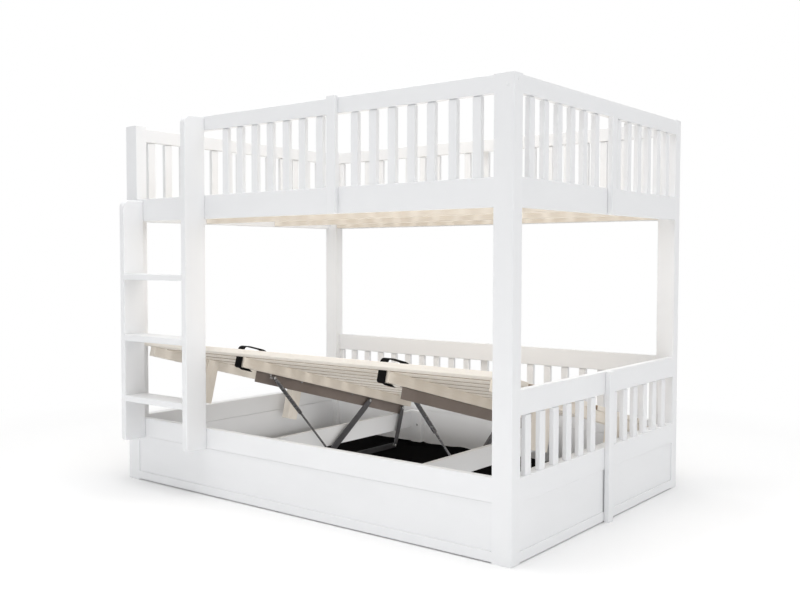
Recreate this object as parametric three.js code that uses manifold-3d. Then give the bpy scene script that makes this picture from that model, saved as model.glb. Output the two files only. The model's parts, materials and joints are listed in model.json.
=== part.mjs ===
// A full size bunk bed in white timber. The lower bed is a slatted pine platform that lifts on
// steel arms and gas struts over a storage box. Millimetres, +Z up, the long side along X.
// Every piece is drawn from the left front corner of the posts, and the bed is then centred.

import * as THREE from 'three';
import { mergeVertices } from 'three/addons/utils/BufferGeometryUtils.js';
import Module from 'manifold-3d';

const wasm = await Module();
wasm.setup();

// Overall sizes, over the outer faces of the corner posts
const bedLength = 2010;
const bedDepth = 1420;
const postHeight = 1600;
const postWidth = 75;
const postDepth = 55;

// White timber sections
const railThickness = 26;
const baseEndThickness = 48;
const balusterWidth = 31;
const balusterThickness = 18;
const midPostWidth = 40;
const midPostProud = 20;
const midPostInset = 22;
const frontMidPostWidth = 42;
const frontMidPostRise = 5;
const edgeRadius = 3;
const balusterBevel = 2;
const tenon = 12;

// Heights of the rails, the upper ones below the tops of the posts
const upperRailDrop = 331;
const upperRailHeight = 98;
const guardRailDrop = 3;
const guardRailHeight = 60;
const lowerGuardBottom = 492;
const lowerGuardHeight = 85;
const baseRailBottom = 202;
const baseRailHeight = 85;
const bottomRailLift = 4;
const bottomRailHeight = 36;
const panelRecess = 15;

// Balusters: the gap after the start of a bay, the gap before its end, and how many it has
const frontLeftBay = { firstGap: 109, lastGap: 35, count: 7 };
const frontRightBay = { firstGap: 61, lastGap: 49, count: 7 };
const endBay = { firstGap: 63, lastGap: 62, count: 6 };
const backBay = { firstGap: 60, lastGap: 44, count: 9 };
const lowerEndBay = { firstGap: 41, lastGap: 77, count: 6 };
const stileWidth = 29;
const frontMidPostShare = 0.511;

// Ladder
const ladderPostGap = 17;
const ladderOpening = 384;
const ladderPlank = 29;
const ladderDepth = 107;
const ladderBottom = 200;
const ladderShortDrop = 8;
const ladderTallDrop = 7;
const ladderNose = 34;
const ladderToe = 12;
const treadThickness = 27;
const treadFirstTop = 402;
const treadPitch = 268;
const treadCount = 3;
const treadNose = 6;

// Floor of the upper bed
const ledgerDepth = 22;
const ledgerHeight = 30;
const ledgerLift = 4;
const deckSlatWidth = 75;
const deckSlatThickness = 20;
const deckSlatPitch = 112;
const joistWidth = 40;
const joistShares = [1 / 3, 2 / 3];
const halving = 2;

// Storage box
const bearerHeight = 12;
const bearerWidth = 60;
const bearerCount = 8;
const floorThickness = 9;
const linerThickness = 3;
const crossRailPlace = 585;
const crossRailThickness = 20;
const crossRailBottom = 112;
const crossRailTop = 200;
const battenWidth = 60;
const battenDepth = 35;
const boxClearance = 0.3;

// Lift platform: its tilt when raised, where it comes down, and how its rear pivot moves up and forward
const platformTilt = THREE.MathUtils.degToRad(14.8);
const rearLift = 37.1;
const rearShift = 64.9;
const closedFrontGap = 6;
const closedBackGap = 12;
const strapAllowance = 4;
const slatThickness = 20;
const slatWidth = 100;
const slatGap = 34;
const slatSideGap = 9;
const beamDepth = 42.5;
const endBeamWidth = 34;
const endBeamInset = 2;
const endBeamSetback = 40;
const middleBeamWidth = 32;
const middleBeamLap = 5;
const middleBeamSetback = 112;
const platformLegWidth = 44;
const platformLegDepth = 70;
const platformLegLength = 205;
const frontLegPlace = 362;
const rearLegSetback = 302;

// Lift mechanism
const steelThickness = 2.5;
const webClearance = 2;
const angleWidth = 25;
const upperWebDepth = 41;
const upperAngleStart = 205;
const lowerWebHeight = 28;
const lowerAngleReach = 24;
const armStandoff = 8;
const armThickness = 4;
const frontArmWidth = 25;
const rearArmWidth = 22;
const pivotDepth = 58.3;
const pivotHeight = 40;
const rearPivotSetback = 53;
const pivotSpacing = 278;
const bossRadius = 8;
const pinRadius = 4;
const pinClearance = 0.5;
const headRadius = 7;
const headThickness = 3;
const strutInset = 104;
const strutLean = 383;
const strutStandoff = 23;
const eyeRadius = 9;
const eyeThickness = 8;
const cylinderRadius = 9;
const cylinderCap = 15.4;
const cylinderChamfer = 1;
const cylinderNeck = 10;
const rodRadius = 4;
const rodEngagement = 30;
const boreClearance = 0.6;
const boreSpare = 4;
const seatGap = 0.3;

// Webbing pull straps
const strapWidth = 44;
const strapThickness = 3;
const strapFoot = 75;
const strapFrontGap = 5;
const strapBend = 6;
const strapRise = 28;
const strapCrest = 55;

// How finely round shapes are cut
const cornerSteps = 2;
const pinSides = 12;
const roundSides = 16;
const armSteps = 8;
const strapSteps = 5;
const weldTolerance = 0.001;

// Heights and places that follow from the sizes above
const upperRailTop = postHeight - upperRailDrop;
const upperRailBottom = upperRailTop - upperRailHeight;
const guardRailTop = postHeight - guardRailDrop;
const guardRailBottom = guardRailTop - guardRailHeight;
const lowerGuardTop = lowerGuardBottom + lowerGuardHeight;
const baseRailTop = baseRailBottom + baseRailHeight;
const bottomRailTop = bottomRailLift + bottomRailHeight;
const linerTop = bearerHeight + floorThickness + linerThickness;
const backFace = bedDepth - railThickness;
const ladderLeft = postWidth + ladderPostGap;
const ladderRight = ladderLeft + ladderPlank + ladderOpening;
const ladderEnd = ladderRight + ladderPlank;
const ladderShortTop = upperRailTop - ladderShortDrop;
const ladderTallTop = postHeight - ladderTallDrop;
const platformLength = bedDepth - 2 * railThickness - closedFrontGap - closedBackGap;
const slatPitch = slatWidth + slatGap;
const slatStart = postWidth + slatSideGap;
const middleBeamStart = crossRailPlace + crossRailThickness - middleBeamLap;
const webStart = crossRailPlace + crossRailThickness + webClearance;
const webEnd = webStart + steelThickness;
const armStart = webEnd + armStandoff;
const armEnd = armStart + armThickness;
const strutCentre = webEnd + strutStandoff;
const closedFront = railThickness + closedFrontGap;
const closedHeight = crossRailTop + strapAllowance + beamDepth;
const rearPivotPlace = platformLength - rearPivotSetback;
const frontPivotPlace = rearPivotPlace - pivotSpacing;
const strutPlace = upperAngleStart + strutInset;
const strutFoot = closedFront + strutPlace + strutLean;
const rearRaised = raisedOffset(rearPivotPlace, pivotDepth);
const raisedFront = closedFront + rearPivotPlace - rearShift - rearRaised.x;
const raisedHeight = closedHeight - pivotDepth + rearLift - rearRaised.y;

const white = { color: 0xe6e7e9, roughness: 0.45, metalness: 0 };
const pine = { color: 0xe6cfa4, roughness: 0.6, metalness: 0 };
const steel = { color: 0x6f675f, roughness: 0.42, metalness: 0.7 };
const darkSteel = { color: 0x2c2c30, roughness: 0.35, metalness: 0.5 };
const blackBoard = { color: 0x101012, roughness: 0.85, metalness: 0 };
const webbing = { color: 0x15161a, roughness: 0.9, metalness: 0 };

const bed = new THREE.Group();
bed.position.set(-bedLength / 2, -(bedDepth + midPostProud - ladderDepth) / 2, 0);

// The platform's own frame starts at its front edge, under the slats, and leans back
const platform = new THREE.Group();
platform.position.set(0, raisedFront, raisedHeight);
platform.rotation.x = -platformTilt;
bed.add(platform);

function addMesh(parent, name, geometry, finish) {
  const mesh = new THREE.Mesh(geometry, new THREE.MeshStandardMaterial(finish));
  mesh.name = name;
  parent.add(mesh);
  return mesh;
}

// A profile is drawn in the two axes that follow the one it is extruded along: YZ, ZX or XY
const profileAxes = {
  x: [new THREE.Vector3(0, 1, 0), new THREE.Vector3(0, 0, 1), new THREE.Vector3(1, 0, 0)],
  y: [new THREE.Vector3(0, 0, 1), new THREE.Vector3(1, 0, 0), new THREE.Vector3(0, 1, 0)],
  z: [new THREE.Vector3(1, 0, 0), new THREE.Vector3(0, 1, 0), new THREE.Vector3(0, 0, 1)],
};

function extrudeAlong(axis, shape, [start, end], steps = cornerSteps) {
  const settings = { depth: end - start, bevelEnabled: false, curveSegments: steps };
  const geometry = new THREE.ExtrudeGeometry(shape, settings);
  const basis = profileAxes[axis];
  geometry.applyMatrix4(new THREE.Matrix4().makeBasis(...basis));
  const shift = basis[2].clone().multiplyScalar(start);
  geometry.translate(shift.x, shift.y, shift.z);
  return geometry;
}

function polygon(points) {
  return new THREE.Shape(points.map(([u, v]) => new THREE.Vector2(u, v)));
}

function roundedRectangle([left, right], [low, high], radius) {
  const shape = new THREE.Shape();
  shape.absarc(right - radius, low + radius, radius, -Math.PI / 2, 0);
  shape.absarc(right - radius, high - radius, radius, 0, Math.PI / 2);
  shape.absarc(left + radius, high - radius, radius, Math.PI / 2, Math.PI);
  shape.absarc(left + radius, low + radius, radius, Math.PI, 1.5 * Math.PI);
  shape.closePath();
  return shape;
}

function profileSpans(grain, { x, y, z }) {
  return { x: [y, z], y: [z, x], z: [x, y] }[grain];
}

// A length of timber with its four long edges rounded, along the axis of its grain
function timber(grain, spans, radius = edgeRadius, steps = cornerSteps) {
  const [u, v] = profileSpans(grain, spans);
  return extrudeAlong(grain, roundedRectangle(u, v, radius), spans[grain], steps);
}

// A length of timber with square edges, for what lies under the slats
function squareTimber(grain, spans) {
  const [u, v] = profileSpans(grain, spans);
  return extrudeAlong(grain, polygon([[u[0], v[0]], [u[1], v[0]], [u[1], v[1]], [u[0], v[1]]]), spans[grain]);
}

function solidOf(geometry) {
  const bare = geometry.clone();
  bare.deleteAttribute('normal');
  bare.deleteAttribute('uv');
  const welded = mergeVertices(bare, weldTolerance);
  const vertProperties = new Float32Array(welded.attributes.position.array);
  const triVerts = new Uint32Array(welded.index.array);
  return new wasm.Manifold(new wasm.Mesh({ numProp: 3, vertProperties, triVerts }));
}

function geometryOf(solid) {
  const mesh = solid.getMesh();
  const geometry = new THREE.BufferGeometry();
  geometry.setAttribute('position', new THREE.BufferAttribute(new Float32Array(mesh.vertProperties), 3));
  geometry.setIndex(new THREE.BufferAttribute(new Uint32Array(mesh.triVerts), 1));
  geometry.computeVertexNormals();
  return geometry;
}

function joined(geometries) {
  return geometryOf(geometries.map(solidOf).reduce((whole, piece) => whole.add(piece)));
}

// Corner posts
function addPosts() {
  const frontSpan = [0, postDepth];
  const backSpan = [bedDepth - postDepth, bedDepth];
  const leftSpan = [0, postWidth];
  const rightSpan = [bedLength - postWidth, bedLength];
  const corners = {
    post_front_left: [leftSpan, frontSpan],
    post_front_right: [rightSpan, frontSpan],
    post_back_left: [leftSpan, backSpan],
    post_back_right: [rightSpan, backSpan],
  };
  for (const [name, [x, y]] of Object.entries(corners)) {
    addMesh(bed, name, timber('z', { x, y, z: [0, postHeight] }), white);
  }
}

// The inner and outer faces of a rail on each side, and the span between the posts that it fills
function sideSpans(side, thickness) {
  const long = [postWidth, bedLength - postWidth];
  const short = [postDepth, bedDepth - postDepth];
  return {
    front: { grain: 'x', x: long, y: [0, thickness] },
    back: { grain: 'x', x: long, y: [bedDepth - thickness, bedDepth] },
    left: { grain: 'y', x: [0, thickness], y: short },
    right: { grain: 'y', x: [bedLength - thickness, bedLength], y: short },
  }[side];
}

function addRail(name, side, thickness, z) {
  const { grain, x, y } = sideSpans(side, thickness);
  addMesh(bed, name, timber(grain, { x, y, z }), white);
}

// The long upper rails carry a ledger strip on their inner face for the slats
function addLedgerRail(name, side) {
  const z = [upperRailBottom, upperRailTop];
  const rail = sideSpans(side, railThickness);
  const isFront = side === 'front';
  const ledgerFar = railThickness + ledgerDepth;
  const lap = railThickness / 2;
  const y = isFront ? [lap, ledgerFar] : [bedDepth - ledgerFar, bedDepth - lap];
  const ledgerBottom = upperRailBottom + ledgerLift;
  const ledger = timber('x', { x: rail.x, y, z: [ledgerBottom, ledgerBottom + ledgerHeight] }, balusterBevel, 1);
  addMesh(bed, name, joined([timber('x', { x: rail.x, y: rail.y, z }), ledger]), white);
}

function addFrameRails() {
  const base = [baseRailBottom, baseRailTop];
  const bottom = [bottomRailLift, bottomRailTop];
  addLedgerRail('upper_rail_front', 'front');
  addLedgerRail('upper_rail_back', 'back');
  for (const side of ['left', 'right']) {
    addRail(`upper_rail_${side}`, side, railThickness, [upperRailBottom, upperRailTop]);
    addRail(`base_rail_${side}`, side, baseEndThickness, base);
    addRail(`bottom_rail_${side}`, side, baseEndThickness, bottom);
  }
  for (const side of ['front', 'back']) {
    addRail(`base_rail_${side}`, side, railThickness, base);
    addRail(`bottom_rail_${side}`, side, railThickness, bottom);
  }
}

// Panels close the base between its top and bottom rails, set back from the outer faces
function addBasePanels() {
  const z = [bottomRailTop, baseRailBottom];
  const long = [postWidth, bedLength - postWidth];
  const short = [postDepth, bedDepth - postDepth];
  const panels = {
    base_panel_front: { x: long, y: [panelRecess, railThickness], grain: 'x' },
    base_panel_back: { x: long, y: [backFace, bedDepth - panelRecess], grain: 'x' },
    base_panel_left: { x: [panelRecess, baseEndThickness], y: short, grain: 'y' },
    base_panel_right: { x: [bedLength - baseEndThickness, bedLength - panelRecess], y: short, grain: 'y' },
  };
  for (const [name, { x, y, grain }] of Object.entries(panels)) {
    addMesh(bed, name, timber(grain, { x, y, z }, balusterBevel, 1), white);
  }
}

// Start of each baluster in a bay, with even spacing between the bay's first and last gap
function balusterStarts([start, end], { firstGap, lastGap, count }) {
  const pitch = (end - start - firstGap - lastGap - balusterWidth) / (count - 1);
  return Array.from({ length: count }, (_, index) => start + firstGap + index * pitch);
}

// A guard is a top rail with balusters let into it; the balusters stand on the rail below
function addGuard(name, side, along, z, bays, stiles = []) {
  const { bottom, railBottom, railTop } = z;
  const inset = (railThickness - balusterThickness) / 2;
  const { grain, x, y } = sideSpans(side, railThickness);
  const across = grain === 'x' ? y : x;
  const thin = [across[0] + inset, across[1] - inset];
  const place = (span, other, height) => (
    grain === 'x' ? { x: span, y: other, z: height } : { x: other, y: span, z: height }
  );
  const uprights = bays.flatMap(([span, bay]) => balusterStarts(span, bay))
    .map((start) => [start, start + balusterWidth])
    .concat(stiles);
  const pieces = [timber(grain, place(along, across, [railBottom, railTop]))];
  for (const span of uprights) {
    pieces.push(timber('z', place(span, thin, [bottom, railBottom + tenon]), balusterBevel, 1));
  }
  addMesh(bed, name, joined(pieces), white);
}

function frontMidPostSpan() {
  const bayStart = ladderEnd;
  const bayEnd = bedLength - postWidth;
  const centre = bayStart + (bayEnd - bayStart) * frontMidPostShare;
  return [centre - frontMidPostWidth / 2, centre + frontMidPostWidth / 2];
}

function middleSpan(total, width) {
  return [(total - width) / 2, (total + width) / 2];
}

function addUpperGuards() {
  const z = { bottom: upperRailTop, railBottom: guardRailBottom, railTop: guardRailTop };
  const long = [postWidth, bedLength - postWidth];
  const short = [postDepth, bedDepth - postDepth];
  const [frontMidStart, frontMidEnd] = frontMidPostSpan();
  const [backMidStart, backMidEnd] = middleSpan(bedLength, midPostWidth);
  const [endMidStart, endMidEnd] = middleSpan(bedDepth, midPostWidth);
  const frontAlong = [ladderRight, long[1]];
  addGuard('upper_guard_front', 'front', frontAlong, z, [
    [[ladderEnd, frontMidStart], frontLeftBay],
    [[frontMidEnd, long[1]], frontRightBay],
  ]);
  addGuard('upper_guard_back', 'back', long, z, [
    [[long[0] + stileWidth, backMidStart], backBay],
    [[backMidEnd + stileWidth, long[1]], backBay],
  ], [[long[0], long[0] + stileWidth], [backMidEnd, backMidEnd + stileWidth]]);
  for (const side of ['left', 'right']) {
    addGuard(`upper_guard_${side}`, side, short, z, [
      [[short[0], endMidStart], endBay],
      [[endMidEnd, short[1]], endBay],
    ]);
  }
}

function addLowerGuards() {
  const z = { bottom: baseRailTop, railBottom: lowerGuardBottom, railTop: lowerGuardTop };
  const long = [postWidth, bedLength - postWidth];
  const short = [postDepth, bedDepth - postDepth];
  const [backMidStart, backMidEnd] = middleSpan(bedLength, midPostWidth);
  const [endMidStart, endMidEnd] = middleSpan(bedDepth, midPostWidth);
  addGuard('lower_guard_right', 'right', short, z, [
    [[short[0], endMidStart], lowerEndBay],
    [[endMidEnd, short[1]], lowerEndBay],
  ]);
  addGuard('lower_guard_back', 'back', long, z, [
    [[long[0] + stileWidth, backMidStart], backBay],
    [[backMidEnd + stileWidth, long[1]], backBay],
  ], [[long[0], long[0] + stileWidth], [backMidEnd, backMidEnd + stileWidth]]);
}

// A mid post is drawn from the outer face of the bed inwards, and notched over each rail
function notchedPost(side, span, outline) {
  const out = { front: -1, back: 1, left: -1, right: 1 }[side];
  const face = { front: 0, back: bedDepth, left: 0, right: bedLength }[side];
  const isEnd = side === 'left' || side === 'right';
  const points = outline.map(([depth, height]) => {
    const place = face - out * depth;
    return isEnd ? [height, place] : [place, height];
  });
  return extrudeAlong(isEnd ? 'y' : 'x', polygon(points), span);
}

function addUpperMidPosts() {
  const top = guardRailTop + frontMidPostRise;
  const frontOutline = [
    [-midPostProud, upperRailBottom], [0, upperRailBottom], [0, upperRailTop],
    [midPostInset, upperRailTop], [midPostInset, guardRailBottom], [0, guardRailBottom],
    [0, top], [-midPostProud, top],
  ];
  const outline = [
    [-midPostProud, upperRailBottom], [0, upperRailBottom], [0, upperRailTop],
    [midPostInset, upperRailTop], [midPostInset, guardRailBottom], [-midPostProud, guardRailBottom],
  ];
  const backSpan = middleSpan(bedLength, midPostWidth);
  const endSpan = middleSpan(bedDepth, midPostWidth);
  addMesh(bed, 'upper_mid_post_front', notchedPost('front', frontMidPostSpan(), frontOutline), white);
  addMesh(bed, 'upper_mid_post_back', notchedPost('back', backSpan, outline), white);
  addMesh(bed, 'upper_mid_post_left', notchedPost('left', endSpan, outline), white);
  addMesh(bed, 'upper_mid_post_right', notchedPost('right', endSpan, outline), white);
}

// The lower mid legs reach from the floor to the top of the lower guard
function addLowerMidLegs() {
  const outline = [
    [-midPostProud, 0], [0, 0], [0, bottomRailTop], [panelRecess, bottomRailTop],
    [panelRecess, baseRailBottom], [0, baseRailBottom], [0, baseRailTop],
    [midPostInset, baseRailTop], [midPostInset, lowerGuardBottom], [0, lowerGuardBottom],
    [0, lowerGuardTop], [-midPostProud, lowerGuardTop],
  ];
  const backLeg = notchedPost('back', middleSpan(bedLength, midPostWidth), outline);
  const rightLeg = notchedPost('right', middleSpan(bedDepth, midPostWidth), outline);
  addMesh(bed, 'lower_mid_leg_back', backLeg, white);
  addMesh(bed, 'lower_mid_leg_right', rightLeg, white);
}

// A ladder plank seen from its side: square at the bed, rounded at the front of its top and foot
function ladderPlankShape(top) {
  const shape = new THREE.Shape();
  shape.moveTo(0, ladderBottom);
  shape.lineTo(0, top);
  shape.absarc(ladderNose - ladderDepth, top - ladderNose, ladderNose, Math.PI / 2, Math.PI);
  shape.absarc(ladderToe - ladderDepth, ladderBottom + ladderToe, ladderToe, Math.PI, 1.5 * Math.PI);
  shape.closePath();
  return shape;
}

function addLadder() {
  const tall = extrudeAlong('x', ladderPlankShape(ladderTallTop), [ladderRight, ladderEnd], armSteps / 2);
  const shortEnd = ladderLeft + ladderPlank;
  const short = extrudeAlong('x', ladderPlankShape(ladderShortTop), [ladderLeft, shortEnd], armSteps / 2);
  addMesh(bed, 'ladder_plank_left', short, white);
  addMesh(bed, 'ladder_plank_right', tall, white);
  for (let index = 0; index < treadCount; index += 1) {
    const top = treadFirstTop + index * treadPitch;
    const spans = { x: [shortEnd, ladderRight], y: [-ladderDepth, 0], z: [top - treadThickness, top] };
    addMesh(bed, `ladder_tread_${index + 1}`, timber('x', spans, treadNose), white);
  }
}

// Slats front to back over two long joists, in one frame that lies on the ledgers
function addUpperDeck() {
  const bottom = upperRailBottom + ledgerLift;
  const top = bottom + ledgerHeight;
  const inner = [railThickness, bedLength - railThickness];
  const room = inner[1] - inner[0];
  const count = Math.floor((room - deckSlatWidth) / deckSlatPitch) + 1;
  const margin = (room - deckSlatWidth - (count - 1) * deckSlatPitch) / 2;
  const pieces = joistShares.map((share) => {
    const centre = bedDepth * share;
    const y = [centre - joistWidth / 2, centre + joistWidth / 2];
    return squareTimber('x', { x: inner, y, z: [bottom, top + halving] });
  });
  for (let index = 0; index < count; index += 1) {
    const start = inner[0] + margin + index * deckSlatPitch;
    const y = index === 0 || index === count - 1 ? [postDepth, bedDepth - postDepth] : [railThickness, backFace];
    const x = [start, start + deckSlatWidth];
    pieces.push(timber('y', { x, y, z: [top, top + deckSlatThickness] }, balusterBevel, 1));
  }
  addMesh(bed, 'upper_slat_floor', joined(pieces), pine);
}

// The outline of the storage box inside the panels, notched round the four posts
function boxOutline(clearance) {
  const left = baseEndThickness + clearance;
  const right = bedLength - left;
  const front = railThickness + clearance;
  const back = bedDepth - front;
  const postX = postWidth + clearance;
  const postY = postDepth + clearance;
  return polygon([
    [postX, front], [bedLength - postX, front], [bedLength - postX, postY], [right, postY],
    [right, bedDepth - postY], [bedLength - postX, bedDepth - postY], [bedLength - postX, back],
    [postX, back], [postX, bedDepth - postY], [left, bedDepth - postY], [left, postY], [postX, postY],
  ]);
}

function addStorageFloor() {
  const boardTop = bearerHeight + floorThickness;
  const board = extrudeAlong('z', boxOutline(boxClearance), [bearerHeight, boardTop]);
  const y = [railThickness + boxClearance, backFace - boxClearance];
  const first = postWidth + boxClearance;
  const last = bedLength - first - bearerWidth;
  const bearers = Array.from({ length: bearerCount }, (_, index) => {
    const start = first + ((last - first) * index) / (bearerCount - 1);
    const z = [0, bearerHeight + halving];
    return timber('y', { x: [start, start + bearerWidth], y, z }, balusterBevel, 1);
  });
  addMesh(bed, 'storage_floor', joined([board, ...bearers]), pine);
  addMesh(bed, 'storage_liner', extrudeAlong('z', boxOutline(boxClearance), [boardTop, linerTop]), blackBoard);
}

// A span measured from the left end, or its mirror image measured from the right end
function across(side, near, far) {
  return side === 'left' ? [near, far] : [bedLength - far, bedLength - near];
}

// The cross rails divide the storage box; each is fixed to a batten at the front and back walls
function addCrossRail(side) {
  const face = crossRailPlace + crossRailThickness;
  const rail = timber('y', {
    x: across(side, crossRailPlace, face),
    y: [railThickness, backFace],
    z: [crossRailBottom, crossRailTop],
  }, balusterBevel, 1);
  const x = across(side, face - balusterBevel - halving, face + battenWidth);
  const z = [linerTop, crossRailTop];
  const battens = [
    timber('z', { x, y: [railThickness, railThickness + battenDepth], z }, balusterBevel, 1),
    timber('z', { x, y: [backFace - battenDepth, backFace], z }, balusterBevel, 1),
  ];
  addMesh(bed, `cross_rail_${side}`, joined([rail, ...battens]), white);
}

function platformSlat(index) {
  const start = index * slatPitch;
  const spans = { x: [slatStart, bedLength - slatStart], y: [start, start + slatWidth], z: [0, slatThickness] };
  return timber('x', spans, edgeRadius, 1);
}

// The first slat lies on the end beams alone; the others are fixed to the middle beams too
function addPlatformSlats() {
  const count = Math.floor((platformLength - slatWidth) / slatPitch) + 1;
  const pieces = [];
  for (let index = 1; index < count; index += 1) {
    pieces.push(platformSlat(index));
  }
  for (const side of ['left', 'right']) {
    const x = across(side, middleBeamStart, middleBeamStart + middleBeamWidth);
    const y = [middleBeamSetback, platformLength];
    pieces.push(squareTimber('y', { x, y, z: [-beamDepth, halving] }));
  }
  addMesh(platform, 'platform_front_slat', platformSlat(0), pine);
  addMesh(platform, 'platform_slats', joined(pieces), pine);
}

// Each end beam carries two short legs, notched round it
function addEndBeam(side) {
  const start = slatStart + endBeamInset;
  const x = across(side, start, start + endBeamWidth);
  const beamTop = -seatGap;
  const beam = timber('y', { x, y: [endBeamSetback, platformLength], z: [-beamDepth, beamTop] }, balusterBevel, 1);
  const spread = (platformLegWidth - endBeamWidth) / 2;
  const legX = [x[0] - spread, x[1] + spread];
  const rearLegPlace = platformLength - rearLegSetback - platformLegDepth;
  const legs = [frontLegPlace, rearLegPlace].map((place) => {
    const y = [place, place + platformLegDepth];
    return timber('z', { x: legX, y, z: [-platformLegLength, beamTop] });
  });
  addMesh(platform, `platform_end_beam_${side}`, joined([beam, ...legs]), pine);
}

// Places of the platform's points, in the plane across the bed: from its raised edge, raised and closed
function raisedOffset(place, depth) {
  const cos = Math.cos(platformTilt);
  const sin = Math.sin(platformTilt);
  return new THREE.Vector2(place * cos - depth * sin, -place * sin - depth * cos);
}

function raisedPoint(place, depth) {
  return raisedOffset(place, depth).add(new THREE.Vector2(raisedFront, raisedHeight));
}

function closedPoint(place, depth) {
  return new THREE.Vector2(closedFront + place, closedHeight - depth);
}

// The fixed pivot of an arm, at the pivot height, is as far from the raised as from the closed place
function fixedPivot(place) {
  const raised = raisedPoint(place, pivotDepth);
  const closed = closedPoint(place, pivotDepth);
  const difference = closed.lengthSq() - raised.lengthSq() - 2 * pivotHeight * (closed.y - raised.y);
  return new THREE.Vector2(difference / (2 * (closed.x - raised.x)), pivotHeight);
}

// A round peg across the bed
function peg(side, near, far, radius, y, z) {
  const [start, end] = across(side, near, far);
  const geometry = new THREE.CylinderGeometry(radius, radius, end - start, pinSides);
  geometry.rotateZ(-Math.PI / 2);
  geometry.translate((start + end) / 2, y, z);
  return geometry;
}

// A boss that spaces an arm off the web, with a pin through the arm and a head over it
function pivotPieces(side, y, z) {
  const inside = webStart + steelThickness / 2;
  const bossEnd = armStart - seatGap;
  const headStart = armEnd + seatGap;
  const headEnd = headStart + headThickness;
  return [
    peg(side, inside, bossEnd, bossRadius, y, z),
    peg(side, inside, headEnd, pinRadius, y, z),
    peg(side, headStart, headEnd, headRadius, y, z),
  ];
}

// The upper angle hangs under the middle beam and carries the three upper pivots
function addUpperAngle(side) {
  const top = -beamDepth - seatGap;
  const span = [upperAngleStart, rearPivotPlace + rearArmWidth / 2];
  const flange = timber('y', {
    x: across(side, webStart, webStart + angleWidth),
    y: span,
    z: [top - steelThickness, top],
  }, steelThickness / 4, 1);
  const web = timber('y', {
    x: across(side, webStart, webEnd),
    y: span,
    z: [top - upperWebDepth, top],
  }, steelThickness / 4, 1);
  const inside = webStart + steelThickness / 2;
  const stub = peg(side, inside, armStart - seatGap, bossRadius, frontPivotPlace, -pivotDepth);
  const studEnd = strutCentre - eyeThickness / 2 - seatGap;
  const stud = peg(side, inside, studEnd, pinRadius, strutPlace, -pivotDepth);
  const rear = pivotPieces(side, rearPivotPlace, -pivotDepth);
  addMesh(platform, `upper_angle_${side}`, joined([flange, web, stub, stud, ...rear]), steel);
}

// The lower angle lies on the storage floor and carries the fixed pivots
function addLowerAngle(side) {
  const front = fixedPivot(frontPivotPlace);
  const rear = fixedPivot(rearPivotPlace);
  const span = [Math.min(front.x, strutFoot) - lowerAngleReach, rear.x + lowerAngleReach];
  const flange = timber('y', {
    x: across(side, webEnd - angleWidth, webEnd),
    y: span,
    z: [linerTop, linerTop + steelThickness],
  }, steelThickness / 4, 1);
  const web = timber('y', {
    x: across(side, webStart, webEnd),
    y: span,
    z: [linerTop, linerTop + lowerWebHeight],
  }, steelThickness / 4, 1);
  const inside = webStart + steelThickness / 2;
  const eyeStart = strutCentre - eyeThickness / 2;
  const eyeEnd = strutCentre + eyeThickness / 2;
  const strutPin = [
    peg(side, inside, eyeStart - seatGap, bossRadius, strutFoot, pivotHeight),
    peg(side, inside, eyeEnd + seatGap + headThickness, pinRadius, strutFoot, pivotHeight),
    peg(side, eyeEnd + seatGap, eyeEnd + seatGap + headThickness, headRadius, strutFoot, pivotHeight),
  ];
  const pieces = [
    flange, web, ...strutPin,
    ...pivotPieces(side, front.x, front.y),
    ...pivotPieces(side, rear.x, rear.y),
  ];
  addMesh(bed, `lower_angle_${side}`, joined(pieces), steel);
}

// A flat arm with round ends, from its fixed pivot along its own Y axis
function armShape(length, width, pinHoles) {
  const shape = new THREE.Shape();
  shape.absarc(0, 0, width / 2, Math.PI / 2, 1.5 * Math.PI);
  shape.absarc(length, 0, width / 2, -Math.PI / 2, Math.PI / 2);
  shape.closePath();
  for (const place of pinHoles) {
    const hole = new THREE.Path();
    hole.absarc(place, 0, pinRadius + pinClearance, 0, 2 * Math.PI, true);
    shape.holes.push(hole);
  }
  return shape;
}

// A frame at a fixed pivot whose Y axis points to the place that the link reaches when raised
function linkFrame(fixed, place) {
  const top = raisedPoint(place, pivotDepth);
  const frame = new THREE.Group();
  frame.position.set(0, fixed.x, fixed.y);
  frame.rotation.x = Math.atan2(top.y - fixed.y, top.x - fixed.x);
  bed.add(frame);
  return { frame, length: top.distanceTo(fixed) };
}

// The front arm's top rivet is its own: it bears on the stub of the upper angle
function addFrontArm(side) {
  const { frame, length } = linkFrame(fixedPivot(frontPivotPlace), frontPivotPlace);
  const plate = extrudeAlong('x', armShape(length, frontArmWidth, [0]), across(side, armStart, armEnd), armSteps);
  const inside = armStart + armThickness / 2;
  const rivet = peg(side, inside, armEnd + headThickness, headRadius, length, 0);
  addMesh(frame, `front_arm_${side}`, joined([plate, rivet]), steel);
}

function addRearArm(side) {
  const { frame, length } = linkFrame(fixedPivot(rearPivotPlace), rearPivotPlace);
  const shape = armShape(length, rearArmWidth, [0, length]);
  const plate = extrudeAlong('x', shape, across(side, armStart, armEnd), armSteps);
  addMesh(frame, `rear_arm_${side}`, plate, steel);
}

// A round bar or tube along Y, drawn as radius and height from the axis and back to it
function turned(points, sides) {
  const profile = points.map(([radius, height]) => new THREE.Vector2(radius, height));
  return new THREE.LatheGeometry(profile, sides);
}

function eyePlate(side, y, withHole) {
  const shape = new THREE.Shape();
  shape.absarc(y, 0, eyeRadius, 0, 2 * Math.PI);
  if (withHole) {
    const hole = new THREE.Path();
    hole.absarc(y, 0, pinRadius + pinClearance, 0, 2 * Math.PI, true);
    shape.holes.push(hole);
  }
  const half = eyeThickness / 2;
  return extrudeAlong('x', shape, across(side, strutCentre - half, strutCentre + half), armSteps);
}

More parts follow.
